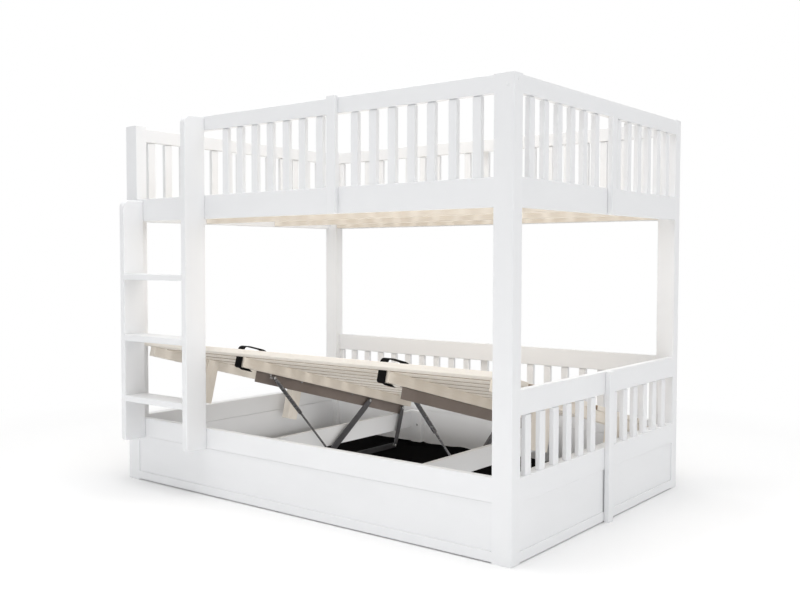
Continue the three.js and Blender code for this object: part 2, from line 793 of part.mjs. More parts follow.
// Gas strut: the rod turns on the lower angle, the cylinder slides over it and reaches the stud
function addStrut(side) {
  const foot = new THREE.Vector2(strutFoot, pivotHeight);
  const { frame, length } = linkFrame(foot, strutPlace);
  const closedLength = closedPoint(strutPlace, pivotDepth).distanceTo(foot);
  const stroke = length - closedLength;
  const centre = across(side, strutCentre, strutCentre)[0];
  const cylinderLength = stroke + rodEngagement + boreSpare + cylinderCap;
  const mouth = length - cylinderLength;
  const rodEnd = mouth + rodEngagement;
  const rodStart = eyeRadius - cylinderChamfer;
  const rod = turned([[0, rodEnd], [rodRadius, rodEnd], [rodRadius, rodStart], [0, rodStart]].reverse(), roundSides);
  rod.translate(centre, 0, 0);
  addMesh(frame, `strut_rod_${side}`, joined([rod, eyePlate(side, 0, true)]), darkSteel);

  const boreRadius = rodRadius + boreClearance;
  const boreEnd = rodEnd + stroke + boreSpare;
  const shoulder = length - cylinderNeck;
  const tube = turned([
    [0, boreEnd], [boreRadius, boreEnd], [boreRadius, mouth],
    [cylinderRadius - cylinderChamfer, mouth], [cylinderRadius, mouth + cylinderChamfer],
    [cylinderRadius, shoulder - cylinderChamfer], [cylinderRadius - cylinderChamfer, shoulder],
    [0, shoulder],
  ], roundSides);
  tube.translate(centre, 0, 0);
  const neckHalf = eyeThickness / 2;
  const neckShape = roundedRectangle([boreEnd, length], [-neckHalf, neckHalf], cylinderChamfer);
  const neck = extrudeAlong('x', neckShape, across(side, strutCentre - neckHalf, strutCentre + neckHalf));
  addMesh(frame, `strut_cylinder_${side}`, joined([tube, neck, eyePlate(side, length, false)]), darkSteel);
}

// A flat ribbon of webbing along a smooth line, in the platform's own frame
function ribbonShape(line, thickness, steps) {
  const points = line.getPoints(steps);
  const last = points.length - 1;
  const sideLine = (distance) => points.map((point, index) => {
    const before = points[Math.max(index - 1, 0)];
    const after = points[Math.min(index + 1, last)];
    const along = after.clone().sub(before).normalize();
    return new THREE.Vector2(point.x - along.y * distance, point.y + along.x * distance);
  });
  const half = thickness / 2;
  return new THREE.Shape([...sideLine(-half), ...sideLine(half).reverse()]);
}

// The strap is fixed under the middle beam, rises through the first gap and arches to the second
function addStrap(side) {
  const half = strapThickness / 2;
  const under = -beamDepth - seatGap - half;
  const front = middleBeamSetback - strapFrontGap;
  const slatTop = slatThickness + half;
  const crest = slatTop + strapRise - strapThickness;
  const gapCentre = slatPitch + slatWidth + slatGap / 2;
  const line = new THREE.Path();
  line.moveTo(front + strapFoot, under);
  line.lineTo(front + strapBend, under);
  line.quadraticCurveTo(front, under, front, under + strapBend);
  line.lineTo(front, slatThickness);
  line.bezierCurveTo(front, crest, front + strapCrest / 2, crest, front + strapCrest, crest);
  line.bezierCurveTo(gapCentre - strapCrest / 2, crest, gapCentre, slatTop, gapCentre, slatThickness / 2);
  line.lineTo(gapCentre, halving + strapBend / 2);
  line.lineTo(gapCentre, halving + seatGap);
  const centre = middleBeamStart - middleBeamLap * 2 + strapWidth / 2;
  const x = across(side, centre - strapWidth / 2, centre + strapWidth / 2);
  const ribbon = extrudeAlong('x', ribbonShape(line, strapThickness, strapSteps), x);
  addMesh(platform, `pull_strap_${side}`, ribbon, webbing);
}

addPosts();
addFrameRails();
addBasePanels();
addUpperGuards();
addLowerGuards();
addUpperMidPosts();
addLowerMidLegs();
addLadder();
addUpperDeck();
addStorageFloor();
addPlatformSlats();
for (const side of ['left', 'right']) {
  addCrossRail(side);
  addEndBeam(side);
  addUpperAngle(side);
  addLowerAngle(side);
  addFrontArm(side);
  addRearArm(side);
  addStrut(side);
  addStrap(side);
}

export default bed;
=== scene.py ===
# The looks of a white full size bunk bed whose slatted pine base lifts over a storage box.
# Metres, +Z up. Sizes in the tables are millimetres from the left front corner of the posts.

import json
import math
import random

import bmesh
import bpy
from mathutils import Matrix, Vector, noise


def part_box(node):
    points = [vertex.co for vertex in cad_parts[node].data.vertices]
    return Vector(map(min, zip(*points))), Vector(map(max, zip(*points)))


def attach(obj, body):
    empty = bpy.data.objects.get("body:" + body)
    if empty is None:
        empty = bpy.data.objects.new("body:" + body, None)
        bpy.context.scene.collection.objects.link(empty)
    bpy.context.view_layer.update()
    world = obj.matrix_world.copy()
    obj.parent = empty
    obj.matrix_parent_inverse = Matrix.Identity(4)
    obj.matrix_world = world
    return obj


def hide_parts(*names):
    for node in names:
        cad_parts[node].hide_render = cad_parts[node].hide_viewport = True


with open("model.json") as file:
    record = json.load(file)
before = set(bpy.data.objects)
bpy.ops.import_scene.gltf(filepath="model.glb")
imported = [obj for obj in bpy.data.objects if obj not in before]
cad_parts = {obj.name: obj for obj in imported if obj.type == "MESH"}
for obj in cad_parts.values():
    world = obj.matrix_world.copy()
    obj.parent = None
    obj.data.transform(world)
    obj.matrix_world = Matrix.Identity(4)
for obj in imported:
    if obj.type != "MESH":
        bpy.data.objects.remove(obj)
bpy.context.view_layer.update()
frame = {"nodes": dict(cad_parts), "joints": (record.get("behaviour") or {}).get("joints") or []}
cad_nodes = frame["nodes"]
joint_places = {joint["name"]: joint.get("pos_m") for joint in frame["joints"]}

MM = 0.001
BED_LENGTH = 2010
BED_DEPTH = 1420
POST_LENGTH = 75
POST_DEPTH = 55
RAIL_THICKNESS = 26
FRONT_TO_MIDDLE = 666.5
CORNER = Vector((-BED_LENGTH / 2, -FRONT_TO_MIDDLE, 0)) * MM
SIDES = ("left", "right")
OUTWARD = {"front": (1, False), "back": (1, True), "left": (0, False), "right": (0, True)}
GRAIN_ORDER = {"x": (0, 1, 2), "y": (1, 2, 0), "z": (2, 0, 1)}
chance = random.Random(7)


def place(x, y, z):
    """A point given in millimetres from the corner of the posts."""
    return Vector((x, y, z)) * MM + CORNER


def mirrored(side, x):
    return x if side == "left" else BED_LENGTH - x


def mirrored_span(side, first, last):
    """A span along X that is given for the left side of the bed."""
    return sorted((mirrored(side, first), mirrored(side, last)))


def from_outside(side, start, end):
    """A span across the bed's depth, measured in from its front or back face."""
    return (start, end) if side == "front" else (BED_DEPTH - end, BED_DEPTH - start)


def clamped(value):
    return min(1.0, max(0.0, value))


# Materials


def new_finish(name, metallic=0.0):
    finish = bpy.data.materials.new(name)
    finish.use_nodes = True
    tree = finish.node_tree
    shader = tree.nodes["Principled BSDF"]
    shader.inputs["Metallic"].default_value = metallic
    return finish, tree, shader


def feed(tree, socket, value):
    """Links another node's output to a socket, or sets the socket's own value."""
    if isinstance(value, bpy.types.NodeSocket):
        tree.links.new(value, socket)
    else:
        socket.default_value = value


def node(tree, kind, settings=None, **sockets):
    """A new node; a socket's name is given with _ for each space."""
    made = tree.nodes.new(kind)
    for key, value in (settings or {}).items():
        setattr(made, key, value)
    for key, value in sockets.items():
        feed(tree, made.inputs[key.replace("_", " ")], value)
    return made


def node_of(tree, kind, settings, *values):
    """A new node whose first sockets take these values in order."""
    made = node(tree, kind, settings)
    for socket, value in zip(made.inputs, values):
        feed(tree, socket, value)
    return made


def math_of(tree, operation, first, second):
    return node_of(tree, "ShaderNodeMath", {"operation": operation}, first, second).outputs[0]


def stretched(tree, source, scale):
    """Texture places stretched along the first axis of a board."""
    return node(tree, "ShaderNodeMapping", Vector=source, Scale=scale).outputs[0]


def attribute(tree, name, output="Fac"):
    return node(tree, "ShaderNodeAttribute", {"attribute_name": name}).outputs[output]


def own_places(tree):
    return node(tree, "ShaderNodeTexCoord").outputs["Object"]


def noise_of(tree, vector, scale, detail=3.0, roughness=0.5, distortion=0.0):
    return node(
        tree, "ShaderNodeTexNoise", Vector=vector, Scale=scale, Detail=detail,
        Roughness=roughness, Distortion=distortion,
    ).outputs["Fac"]


def bands_of(tree, direction, vector, **sockets):
    settings = {"wave_type": "BANDS", "bands_direction": direction}
    return node(tree, "ShaderNodeTexWave", settings, Vector=vector, **sockets).outputs["Fac"]


def ramp(tree, factor, *stops):
    made = node(tree, "ShaderNodeValToRGB", Fac=factor)
    elements = made.color_ramp.elements
    while len(elements) < len(stops):
        elements.new(0.5)
    for element, (position, colour) in zip(elements, stops):
        element.position = position
        element.color = (*colour, 1)
    return made.outputs["Color"]


def grey(level):
    return (level, level, level)


def grey_ramp(tree, factor, *stops):
    return ramp(tree, factor, *((position, grey(level)) for position, level in stops))


def mixed(tree, factor, first, second, blend="MIX"):
    made = node(tree, "ShaderNodeMix", {"data_type": "RGBA", "blend_type": blend})
    for index, value in ((0, factor), (6, first), (7, second)):
        feed(tree, made.inputs[index], (*value, 1) if isinstance(value, tuple) else value)
    return made.outputs[2]


def sum_of(tree, first, second, weight):
    return math_of(tree, "ADD", first, math_of(tree, "MULTIPLY", second, weight))


def set_surface(tree, shader, colour, roughness, specular=None):
    feed(tree, shader.inputs["Base Color"], colour)
    feed(tree, shader.inputs["Roughness"], roughness)
    if specular is not None:
        shader.inputs["Specular IOR Level"].default_value = specular


def raise_surface(tree, shader, height, strength, distance):
    bump = node(tree, "ShaderNodeBump", Height=height, Strength=strength, Distance=distance)
    feed(tree, shader.inputs["Normal"], bump.outputs[0])


def white_lacquer():
    """Sprayed white lacquer: the wood's grain shows only as a faint relief."""
    finish, tree, shader = new_finish("white_lacquer")
    places = attribute(tree, "grain", "Vector")
    clouds = noise_of(tree, stretched(tree, places, (1.5, 6, 6)), 2.0, 4.0)
    pores = noise_of(tree, stretched(tree, places, (5, 170, 170)), 3.0, 5.0, 0.6)
    colour = ramp(tree, clouds, (0.25, (0.805, 0.812, 0.824)), (0.75, (0.830, 0.836, 0.848)))
    toned = mixed(tree, attribute(tree, "tone"), colour, (0.84, 0.845, 0.855))
    shaded = mixed(tree, 0.25, colour, toned)
    set_surface(tree, shader, shaded, grey_ramp(tree, pores, (0.2, 0.34), (0.8, 0.46)))
    raise_surface(tree, shader, sum_of(tree, pores, clouds, 0.5), 0.10, 0.0006)
    return finish


def planed_pine():
    """Pale planed pine with growth rings, fibres and a few knots; each board has its own tone. The
    slats' marked long edges are darkened with painted shade, standing in for the shade in the gaps
    between them.
    """
    finish, tree, shader = new_finish("planed_pine")
    places = attribute(tree, "grain", "Vector")
    wander = noise_of(tree, stretched(tree, places, (1.3, 5, 5)), 2.2, 3.0)
    rings = bands_of(
        tree, "Y", stretched(tree, places, (0.35, 1, 1)), Scale=26.0, Distortion=7.0, Detail=3.0,
        Detail_Scale=1.6, Detail_Roughness=0.55,
    )
    fibres = noise_of(tree, stretched(tree, places, (4, 260, 260)), 3.0, 4.0, 0.6)
    spots = stretched(tree, places, (1.1, 3.2, 3.2))
    knots = node(tree, "ShaderNodeTexVoronoi", Vector=spots, Scale=2.6).outputs["Distance"]
    wood = ramp(
        tree, rings, (0.0, (0.86, 0.808, 0.730)), (0.55, (0.875, 0.828, 0.758)),
        (1.0, (0.845, 0.782, 0.695)),
    )
    pale = mixed(tree, wander, wood, (0.885, 0.840, 0.775))
    streaks = grey_ramp(tree, fibres, (0.35, 0.11), (0.65, 0.0))
    streaked = mixed(tree, streaks, pale, (0.68, 0.575, 0.450))
    knotted = mixed(
        tree, grey_ramp(tree, knots, (0.02, 0.55), (0.05, 0.0)), streaked, (0.45, 0.290, 0.160),
    )
    deeper = mixed(tree, 1.0, knotted, (0.955, 0.935, 0.905), "MULTIPLY")
    toned = mixed(tree, attribute(tree, "tone"), knotted, deeper)
    # Painted shade: the slats' marked long edges darken where the gaps between the slats fall in
    # shade.
    shade_colour = mixed(tree, 1.0, toned, (0.30, 0.24, 0.18), "MULTIPLY")
    with_painted_shade = mixed(tree, attribute(tree, "gap_shade"), toned, shade_colour)
    set_surface(tree, shader, with_painted_shade, grey_ramp(tree, fibres, (0.2, 0.52), (0.8, 0.70)))
    raise_surface(tree, shader, sum_of(tree, fibres, rings, 0.35), 0.22, 0.0008)
    return finish


def floor_board():
    """The storage floor's plain plywood, read from the object's own coordinates."""
    finish, tree, shader = new_finish("floor_plywood")
    places = stretched(tree, own_places(tree), (1.2, 14, 14))
    figure = noise_of(tree, places, 3.0, 6.0, 0.55, 0.8)
    colour = ramp(tree, figure, (0.3, (0.60, 0.47, 0.32)), (0.7, (0.74, 0.61, 0.45)))
    set_surface(tree, shader, colour, grey_ramp(tree, figure, (0.3, 0.6), (0.7, 0.72)))
    raise_surface(tree, shader, figure, 0.2, 0.0006)
    return finish


def coated_steel(name, dark, light, roughness, metallic, wear):
    """Coated steel: an even fine grain with a slight change of tone and rubbed spots scattered by
    noise.
    """
    finish, tree, shader = new_finish(name, metallic)
    places = own_places(tree)
    clouds = noise_of(tree, places, 9.0, 4.0)
    speckle = noise_of(tree, places, 900.0, 2.0)
    scuffs = noise_of(tree, places, 55.0, 6.0, 0.7)
    colour = ramp(tree, clouds, (0.3, dark), (0.7, light))
    bare = tuple(min(1, channel * 1.7) for channel in light)
    rubbed = mixed(tree, grey_ramp(tree, scuffs, (0.62, 0.0), (0.72, wear)), colour, bare)
    gloss = grey_ramp(tree, scuffs, (0.3, roughness - 0.06), (0.7, roughness + 0.08))
    set_surface(tree, shader, rubbed, gloss)
    raise_surface(tree, shader, speckle, 0.12, 0.0002)
    return finish


def lining_felt():
    """Black non-woven lining: matt, with a fine felted nap."""
    finish, tree, shader = new_finish("lining_felt")
    places = own_places(tree)
    nap = noise_of(tree, places, 520.0, 4.0, 0.7)
    patches = noise_of(tree, places, 14.0, 4.0)
    black = grey_ramp(tree, nap, (0.3, 0.0016), (0.75, 0.0052))
    colour = mixed(tree, patches, black, (0.003, 0.003, 0.0034))
    set_surface(tree, shader, colour, 0.95, 0.015)
    raise_surface(tree, shader, nap, 0.5, 0.0008)
    return finish


def black_webbing():
    """Black polyester webbing with a herringbone weave and ribs along its edges."""
    finish, tree, shader = new_finish("black_webbing")
    weave = attribute(tree, "weave", "Vector")
    diagonal = bands_of(tree, "DIAGONAL", weave, Scale=160.0, Distortion=0.6)
    ribs = bands_of(tree, "Y", weave, Scale=130.0)
    threads = mixed(tree, 0.5, diagonal, ribs)
    colour = ramp(tree, threads, (0.2, grey(0.0022)), (0.8, (0.008, 0.008, 0.009)))
    set_surface(tree, shader, colour, 0.72, 0.08)
    raise_surface(tree, shader, threads, 0.6, 0.0006)
    return finish


LACQUER = white_lacquer()
PINE = planed_pine()
FLOOR_BOARD = floor_board()
TAUPE_STEEL = coated_steel(
    "taupe_steel", (0.225, 0.185, 0.165), (0.260, 0.217, 0.194), 0.45, 0.25, 0.12,
)
ARM_STEEL = coated_steel(
    "arm_steel", (0.098, 0.097, 0.103), (0.130, 0.128, 0.136), 0.36, 0.45, 0.20,
)
DARK_STEEL = coated_steel(
    "dark_steel", (0.088, 0.090, 0.096), (0.112, 0.114, 0.121), 0.40, 0.30, 0.15,
)
STRUT_PAINT = coated_steel(
    "strut_paint", (0.250, 0.246, 0.256), (0.300, 0.295, 0.306), 0.24, 0.65, 0.06,
)
BOLT_STEEL = coated_steel("bolt_steel", (0.62, 0.62, 0.63), (0.74, 0.74, 0.75), 0.28, 0.70, 0.10)
FELT = lining_felt()
WEBBING = black_webbing()


# Making pieces

SHARP_TURN = 1.2
RAIL_EDGE = 0.0025
BOARD_EDGE = 0.002
PANEL_EDGE = 0.0006
SAWN_END = 0.0006
INTO_POST = 0.0008


def new_object(name, shape, finish=None):
    data = bpy.data.meshes.new(name)
    shape.to_mesh(data)
    shape.free()
    if finish:
        data.materials.append(finish)
    made = bpy.data.objects.new(name, data)
    bpy.context.scene.collection.objects.link(made)
    return made


def finish_piece(name, shape, finish, body="frame", stands_for=None):
    made = new_object(name, shape, finish)
    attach(made, body)
    if stands_for:
        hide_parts(stands_for)
    return made


def new_timber():
    shape = bmesh.new()
    shape.verts.layers.float_vector.new("grain")
    shape.verts.layers.float.new("tone")
    # How much painted shade a slat's long edge takes for the gap beside it.
    shape.verts.layers.float.new("gap_shade")
    return shape


def note_grain(shape, fresh, grain):
    """Keeps where each point lies along and across its own board's grain, and the board's tone."""
    grains = shape.verts.layers.float_vector["grain"]
    tones = shape.verts.layers.float["tone"]
    along, across, through = GRAIN_ORDER[grain]
    shift = Vector([chance.uniform(0, 9) for _ in range(3)])
    tone = chance.random()
    for vert in fresh:
        vert[grains] = Vector((vert.co[along], vert.co[across], vert.co[through])) + shift
        vert[tones] = tone


def edges_of(verts):
    """Each edge at these points, once and always in the same order."""
    return list(dict.fromkeys(edge for vert in verts for edge in vert.link_edges))


def sharp_edges(edges):
    """Those of the edges at which the surface turns by nearly a right angle."""
    return [edge for edge in edges if edge.is_manifold and edge.calc_face_angle() > SHARP_TURN]


def reach_along(edge, axis):
    return abs(edge.verts[0].co[axis] - edge.verts[1].co[axis])


def smooth_bevel(shape, edges, size, segments=3):
    made = bmesh.ops.bevel(
        shape, geom=edges, offset=size, offset_type="OFFSET", segments=segments, profile=0.5,
        affect="EDGES", material=-1,
    )
    for face in made["faces"]:
        face.smooth = True


def add_block(shape, low, high):
    low, high = Vector(low), Vector(high)
    made = bmesh.ops.create_cube(shape, size=1.0)["verts"]
    bmesh.ops.scale(shape, vec=high - low, verts=made)
    bmesh.ops.translate(shape, vec=(low + high) / 2, verts=made)
    return made


def add_board(shape, low, high, grain, edge):
    """A length of timber between two corners: long edges rounded, cut ends just eased."""
    old = set(shape.verts)
    axis = "xyz".index(grain)
    made = add_block(shape, low, high)
    lengthwise = [link for link in edges_of(made) if reach_along(link, axis) > 0.1 * MM]
    smooth_bevel(shape, lengthwise, edge)
    fresh_edges = [link for link in shape.edges if link.verts[0] not in old]
    smooth_bevel(shape, sharp_edges(fresh_edges), SAWN_END, 2)
    note_grain(shape, [vert for vert in shape.verts if vert not in old], grain)


def add_rail(shape, low, high, grain, edge=RAIL_EDGE):
    """A board whose two ends go a little way into the posts, so that the joints stay closed."""
    low, high = Vector(low), Vector(high)
    axis = "xyz".index(grain)
    low[axis] -= INTO_POST
    high[axis] += INTO_POST
    add_board(shape, low, high, grain, edge)


def add_lengths(shape, boards, grain, edge=BOARD_EDGE):
    """Boards given in millimetres from the corner of the posts, as spans along X, Y and Z."""
    for spans in boards:
        low, high = zip(*spans)
        add_board(shape, place(*low), place(*high), grain, edge)


# White timber

POST_OUTER_EDGE = 0.004
POST_INNER_EDGE = 0.0006
POST_RIM = 0.0016
UPPER_RAIL_Z = (1171, 1269)
LEDGER_THICKNESS = 22
LEDGER_Z = (1175, 1205)
RAIL_GRAINS = {"front": "x", "back": "x", "left": "y", "right": "y"}
PANEL_FORWARD = 0.0105
PANEL_JOINT = 0.0014
PANEL_CORE_INSET = 0.0035
PANEL_CORE_RISE = 0.001


def finish_posts():
    """The outer corner of each post is rounded more than the edges beside the rails."""
    for end in ("front", "back"):
        for side in SIDES:
            name = f"post_{end}_{side}"
            low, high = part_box(name)
            corner = Vector((
                high.x if side == "right" else low.x, high.y if end == "back" else low.y,
            ))
            shape = new_timber()
            add_block(shape, low, high)
            uprights = [link for link in shape.edges if reach_along(link, 2) > 100 * MM]
            outer = [link for link in uprights if (link.verts[0].co.xy - corner).length < MM]
            inner = [link for link in uprights if link not in outer]
            smooth_bevel(shape, outer, POST_OUTER_EDGE, 4)
            smooth_bevel(shape, inner, POST_INNER_EDGE)
            smooth_bevel(shape, sharp_edges(shape.edges), POST_RIM)
            note_grain(shape, list(shape.verts), "z")
            finish_piece(f"corner_{name}", shape, LACQUER, "frame", name)


def finish_long_upper_rail(side):
    """A long upper rail, and the pine ledger on its inner face as a piece of its own."""
    name = f"upper_rail_{side}"
    front, back = from_outside(side, 0, RAIL_THICKNESS)
    low = place(POST_LENGTH, front, UPPER_RAIL_Z[0])
    high = place(BED_LENGTH - POST_LENGTH, back, UPPER_RAIL_Z[1])
    rail = new_timber()
    add_rail(rail, low, high, "x")
    length = (POST_LENGTH + 1, BED_LENGTH - POST_LENGTH - 1)
    ledge = from_outside(side, RAIL_THICKNESS, RAIL_THICKNESS + LEDGER_THICKNESS)
    ledger = new_timber()
    add_lengths(ledger, [(length, ledge, LEDGER_Z)], "x")
    finish_piece(f"upper_ledger_{side}", ledger, PINE, "frame", name)
    finish_piece(f"{name}_timber", rail, LACQUER, "frame", name)


def finish_base_panel(side, grain):
    """A panel just behind the face of its rails, with a fine joint over it and a core behind it."""
    name = f"base_panel_{side}"
    low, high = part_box(name)
    axis, is_far = OUTWARD[side]
    if is_far:
        high[axis] += PANEL_FORWARD
    else:
        low[axis] -= PANEL_FORWARD
    shape = new_timber()
    add_rail(shape, low, high - Vector((0, 0, PANEL_JOINT)), grain, PANEL_EDGE)
    inset = Vector((0, 0, 0))
    inset[axis] = PANEL_CORE_INSET
    add_block(shape, low + inset, high + Vector((0, 0, PANEL_CORE_RISE)) - inset)
    finish_piece(f"{name}_timber", shape, LACQUER, "frame", name)


def finish_rails():
    for side, grain in RAIL_GRAINS.items():
        for kind in ("upper_rail", "base_rail", "bottom_rail"):
            if kind == "upper_rail" and grain == "x":
                finish_long_upper_rail(side)
                continue
            name = f"{kind}_{side}"
            shape = new_timber()
            add_rail(shape, *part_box(name), grain)
            finish_piece(f"{name}_timber", shape, LACQUER, "frame", name)
        finish_base_panel(side, grain)


def spread(start, end, first_gap, last_gap, count, width):
    """Where each of a bay's balusters starts and ends, evenly between its first and last gap."""
    pitch = (end - start - first_gap - last_gap - width) / (count - 1)
    starts = [start + first_gap + index * pitch for index in range(count)]
    return [(at, at + width) for at in starts]


END_MID_POST = (690, 730)
BACK_MID_POST = (985, 1054)
FIRST_BACK_BALUSTER = (POST_LENGTH, 104)


def end_bays(first_gap, last_gap, width, extra=0):
    """The balusters at the left or right end, in front of and behind its mid post."""
    front = spread(POST_DEPTH, END_MID_POST[0], first_gap, last_gap, 6, width)
    back = spread(END_MID_POST[1], BED_DEPTH - POST_DEPTH, first_gap, last_gap, 6, width)
    return [(start, end + extra) for start, end in front + back]


def back_bays(left_gaps, right_gaps, width):
    """The balusters at the back: one at the left post, then those on both sides of the mid post."""
    left = spread(FIRST_BACK_BALUSTER[1], BACK_MID_POST[0], *left_gaps, 9, width)
    right = spread(BACK_MID_POST[1], BED_LENGTH - POST_LENGTH, *right_gaps, 9, width)
    return [FIRST_BACK_BALUSTER, *left, *right]


BALUSTER_WIDTH = 33.5
FRONT_STARTS = (640, 724, 810, 896, 983, 1068, 1157, 1328, 1413, 1498, 1583, 1667, 1756, 1851)
GUARD_BAYS = {
    "upper_guard_front": [(start, start + BALUSTER_WIDTH) for start in FRONT_STARTS],
    "upper_guard_back": back_bays((58, 43), (41, 74), BALUSTER_WIDTH),
    "upper_guard_left": end_bays(52.5, 65.5, BALUSTER_WIDTH, 8),
    "upper_guard_right": end_bays(52.5, 65.5, BALUSTER_WIDTH),
    "lower_guard_back": back_bays((56, 44), (37, 75), 35),
    "lower_guard_right": end_bays(41, 77, 31, 7),
}
# The top rail's height, the balusters' bottom and top, and how far in from the rail's faces.
GUARD_HEIGHTS = {"upper": (60, 1269, 1549, 3), "lower": (85, 287, 504, 4)}
SHOULDER_DEPTH = 16
TENON_INSET = 9
TENON_OVERLAP = 0.5
TENON_EDGE = 0.001


def add_upright(shape, rail, grain, span, heights, inset, edge):
    """An upright length under a guard's top rail, set in from both of the rail's faces."""
    along = "xy".index(grain)
    corners = []
    for corner, at, height, inward in zip(rail, span, heights, (inset, -inset)):
        spot = Vector(corner)
        spot[along] = CORNER[along] + at * MM
        spot[1 - along] += inward * MM
        spot.z = height * MM
        corners.append(spot)
    add_board(shape, *corners, "z", edge)


def finish_guards():
    """Each baluster has a shoulder a little under the top rail and a thinner tenon into it."""
    for name, balusters in GUARD_BAYS.items():
        rail_height, bottom, top, inset = GUARD_HEIGHTS[name.split("_")[0]]
        rail = low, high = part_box(name)
        grain = "x" if high.x - low.x > high.y - low.y else "y"
        shoulder = top - SHOULDER_DEPTH
        shape = new_timber()
        add_rail(shape, (low.x, low.y, high.z - rail_height * MM), high, grain)
        for span in balusters:
            add_upright(shape, rail, grain, span, (bottom, shoulder), inset, RAIL_EDGE)
            tenon = (shoulder - TENON_OVERLAP, top)
            add_upright(shape, rail, grain, span, tenon, TENON_INSET, TENON_EDGE)
        finish_piece(f"{name}_timber", shape, LACQUER, "frame", name)


STRIP_THICKNESS = 0.020
BACK_STRIP_SHIFT = 0.012


def finish_mid_posts():
    """Each mid post is a strip fixed on the outside of the rails."""
    upper = [f"upper_mid_post_{side}" for side in OUTWARD]
    for name in (*upper, "lower_mid_leg_back", "lower_mid_leg_right"):
        side = name.split("_")[-1]
        axis, is_far = OUTWARD[side]
        low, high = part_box(name)
        if is_far:
            low[axis] = high[axis] - STRIP_THICKNESS
        else:
            high[axis] = low[axis] + STRIP_THICKNESS
        if side == "back":
            low.x += BACK_STRIP_SHIFT
            high.x += BACK_STRIP_SHIFT
        shape = new_timber()
        add_board(shape, low, high, "z", RAIL_EDGE)
        finish_piece(f"{name}_timber", shape, LACQUER, "frame", name)


LADDER_NOSE = 0.034
LADDER_TOE = 0.012
LADDER_EDGE = 0.003
TREAD_EDGE = 0.004


def finish_ladder():
    """The planks' front corners are rounded, more at the top than at the foot."""
    for side in SIDES:
        name = f"ladder_plank_{side}"
        low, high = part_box(name)
        shape = new_timber()
        add_block(shape, low, high)
        front = [
            link for link in shape.edges if all(vert.co.y < low.y + MM for vert in link.verts)
        ]
        level = [link for link in front if reach_along(link, 2) < MM]
        toe, nose = sorted(level, key=lambda link: link.verts[0].co.z)
        smooth_bevel(shape, [nose], LADDER_NOSE, 10)
        smooth_bevel(shape, [toe], LADDER_TOE, 6)
        smooth_bevel(shape, sharp_edges(shape.edges), LADDER_EDGE)
        note_grain(shape, list(shape.verts), "z")
        finish_piece(f"{name}_timber", shape, LACQUER, "frame", name)
    for number in (1, 2, 3):
        name = f"ladder_tread_{number}"
        shape = new_timber()
        add_board(shape, *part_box(name), "x", TREAD_EDGE)
        finish_piece(f"{name}_timber", shape, LACQUER, "frame", name)


INSIDE = (RAIL_THICKNESS, BED_DEPTH - RAIL_THICKNESS)
BATTEN_DEPTH = 35
BATTEN_SPANS = (
    (INSIDE[0], INSIDE[0] + BATTEN_DEPTH), (INSIDE[1] - BATTEN_DEPTH, INSIDE[1]),
)
CROSS_RAIL_X = (585, 605)
CROSS_RAIL_Z = (112, 200)
BATTEN_X = (604.5, 665)
BATTEN_Z = (24, 200)


def finish_storage_box():
    """Each cross rail with the batten at both of its ends, and the storage floor's plywood."""
    for side in SIDES:
        name = f"cross_rail_{side}"
        rail = mirrored_span(side, *CROSS_RAIL_X)
        batten = mirrored_span(side, *BATTEN_X)
        shape = new_timber()
        add_lengths(shape, [(rail, INSIDE, CROSS_RAIL_Z)], "y")
        add_lengths(shape, [(batten, span, BATTEN_Z) for span in BATTEN_SPANS], "z")
        finish_piece(f"{name}_timber", shape, LACQUER, "frame", name)
    floor = cad_nodes["storage_floor"]
    floor.data.materials.clear()
    floor.data.materials.append(FLOOR_BOARD)


# Pine slats

DECK_SLAT_COUNT = 17
DECK_SLAT_START = 71.5
DECK_SLAT_PITCH = 112
DECK_SLAT_WIDTH = 75
DECK_SLAT_Z = (1205, 1225)
JOIST_HALF_WIDTH = 20
JOIST_Z = (1175, 1205.5)


def finish_upper_deck():
    """Slats across two joists; the first and the last slat stop at the posts."""
    length = (RAIL_THICKNESS, BED_LENGTH - RAIL_THICKNESS)
    joists = []
    for centre in (BED_DEPTH / 3, BED_DEPTH * 2 / 3):
        joists.append((length, (centre - JOIST_HALF_WIDTH, centre + JOIST_HALF_WIDTH), JOIST_Z))
    slats = []
    for index in range(DECK_SLAT_COUNT):
        start = DECK_SLAT_START + DECK_SLAT_PITCH * index
        is_outer = index in (0, DECK_SLAT_COUNT - 1)
        span = (POST_DEPTH, BED_DEPTH - POST_DEPTH) if is_outer else INSIDE
        slats.append(((start, start + DECK_SLAT_WIDTH), span, DECK_SLAT_Z))
    shape = new_timber()
    add_lengths(shape, joists, "x")
    add_lengths(shape, slats, "y", RAIL_EDGE)
    finish_piece("upper_deck_timber", shape, PINE, "frame", "upper_slat_floor")


# The raised platform's own frame: X along the bed, Y back along the slats' underside, Z up.
LIFT_TILT = math.radians(14.8)
LIFT_FRONT = 25.0226
LIFT_HEIGHT = 612.979
LIFT = Matrix.Translation(place(0, LIFT_FRONT, LIFT_HEIGHT)) @ Matrix.Rotation(-LIFT_TILT, 4, "X")
SLAT_COUNT = 10
SLAT_PITCH = 134
SLAT_WIDTH = 100
SLAT_THICKNESS = 20
SLAT_X = (84, 1926)
FRONT_SLAT_EDGE = 0.003
MIDDLE_BEAM_X = (600, 632)
MIDDLE_BEAM_Y = (112, 1350)
MIDDLE_BEAM_Z = (-42.5, 0.5)
END_BEAM_X = (86, 120)
END_BEAM_Y = (40, 1350)
END_BEAM_Z = (-42.5, -0.3)
LEG_X = (81, 125)
LEG_SPANS = ((362, 432), (978, 1048))
LEG_Z = (-205, -0.3)
LEG_EDGE = 0.003


def on_platform(x, y, z):
    return LIFT @ (Vector((x, y, z)) * MM)


def add_lifted_lengths(shape, boards, grain, edge=BOARD_EDGE):
    """Boards given in millimetres in the platform's own frame, as spans along X, Y and Z."""
    for spans in boards:
        low, high = zip(*spans)
        add_board(shape, Vector(low) * MM, Vector(high) * MM, grain, edge)


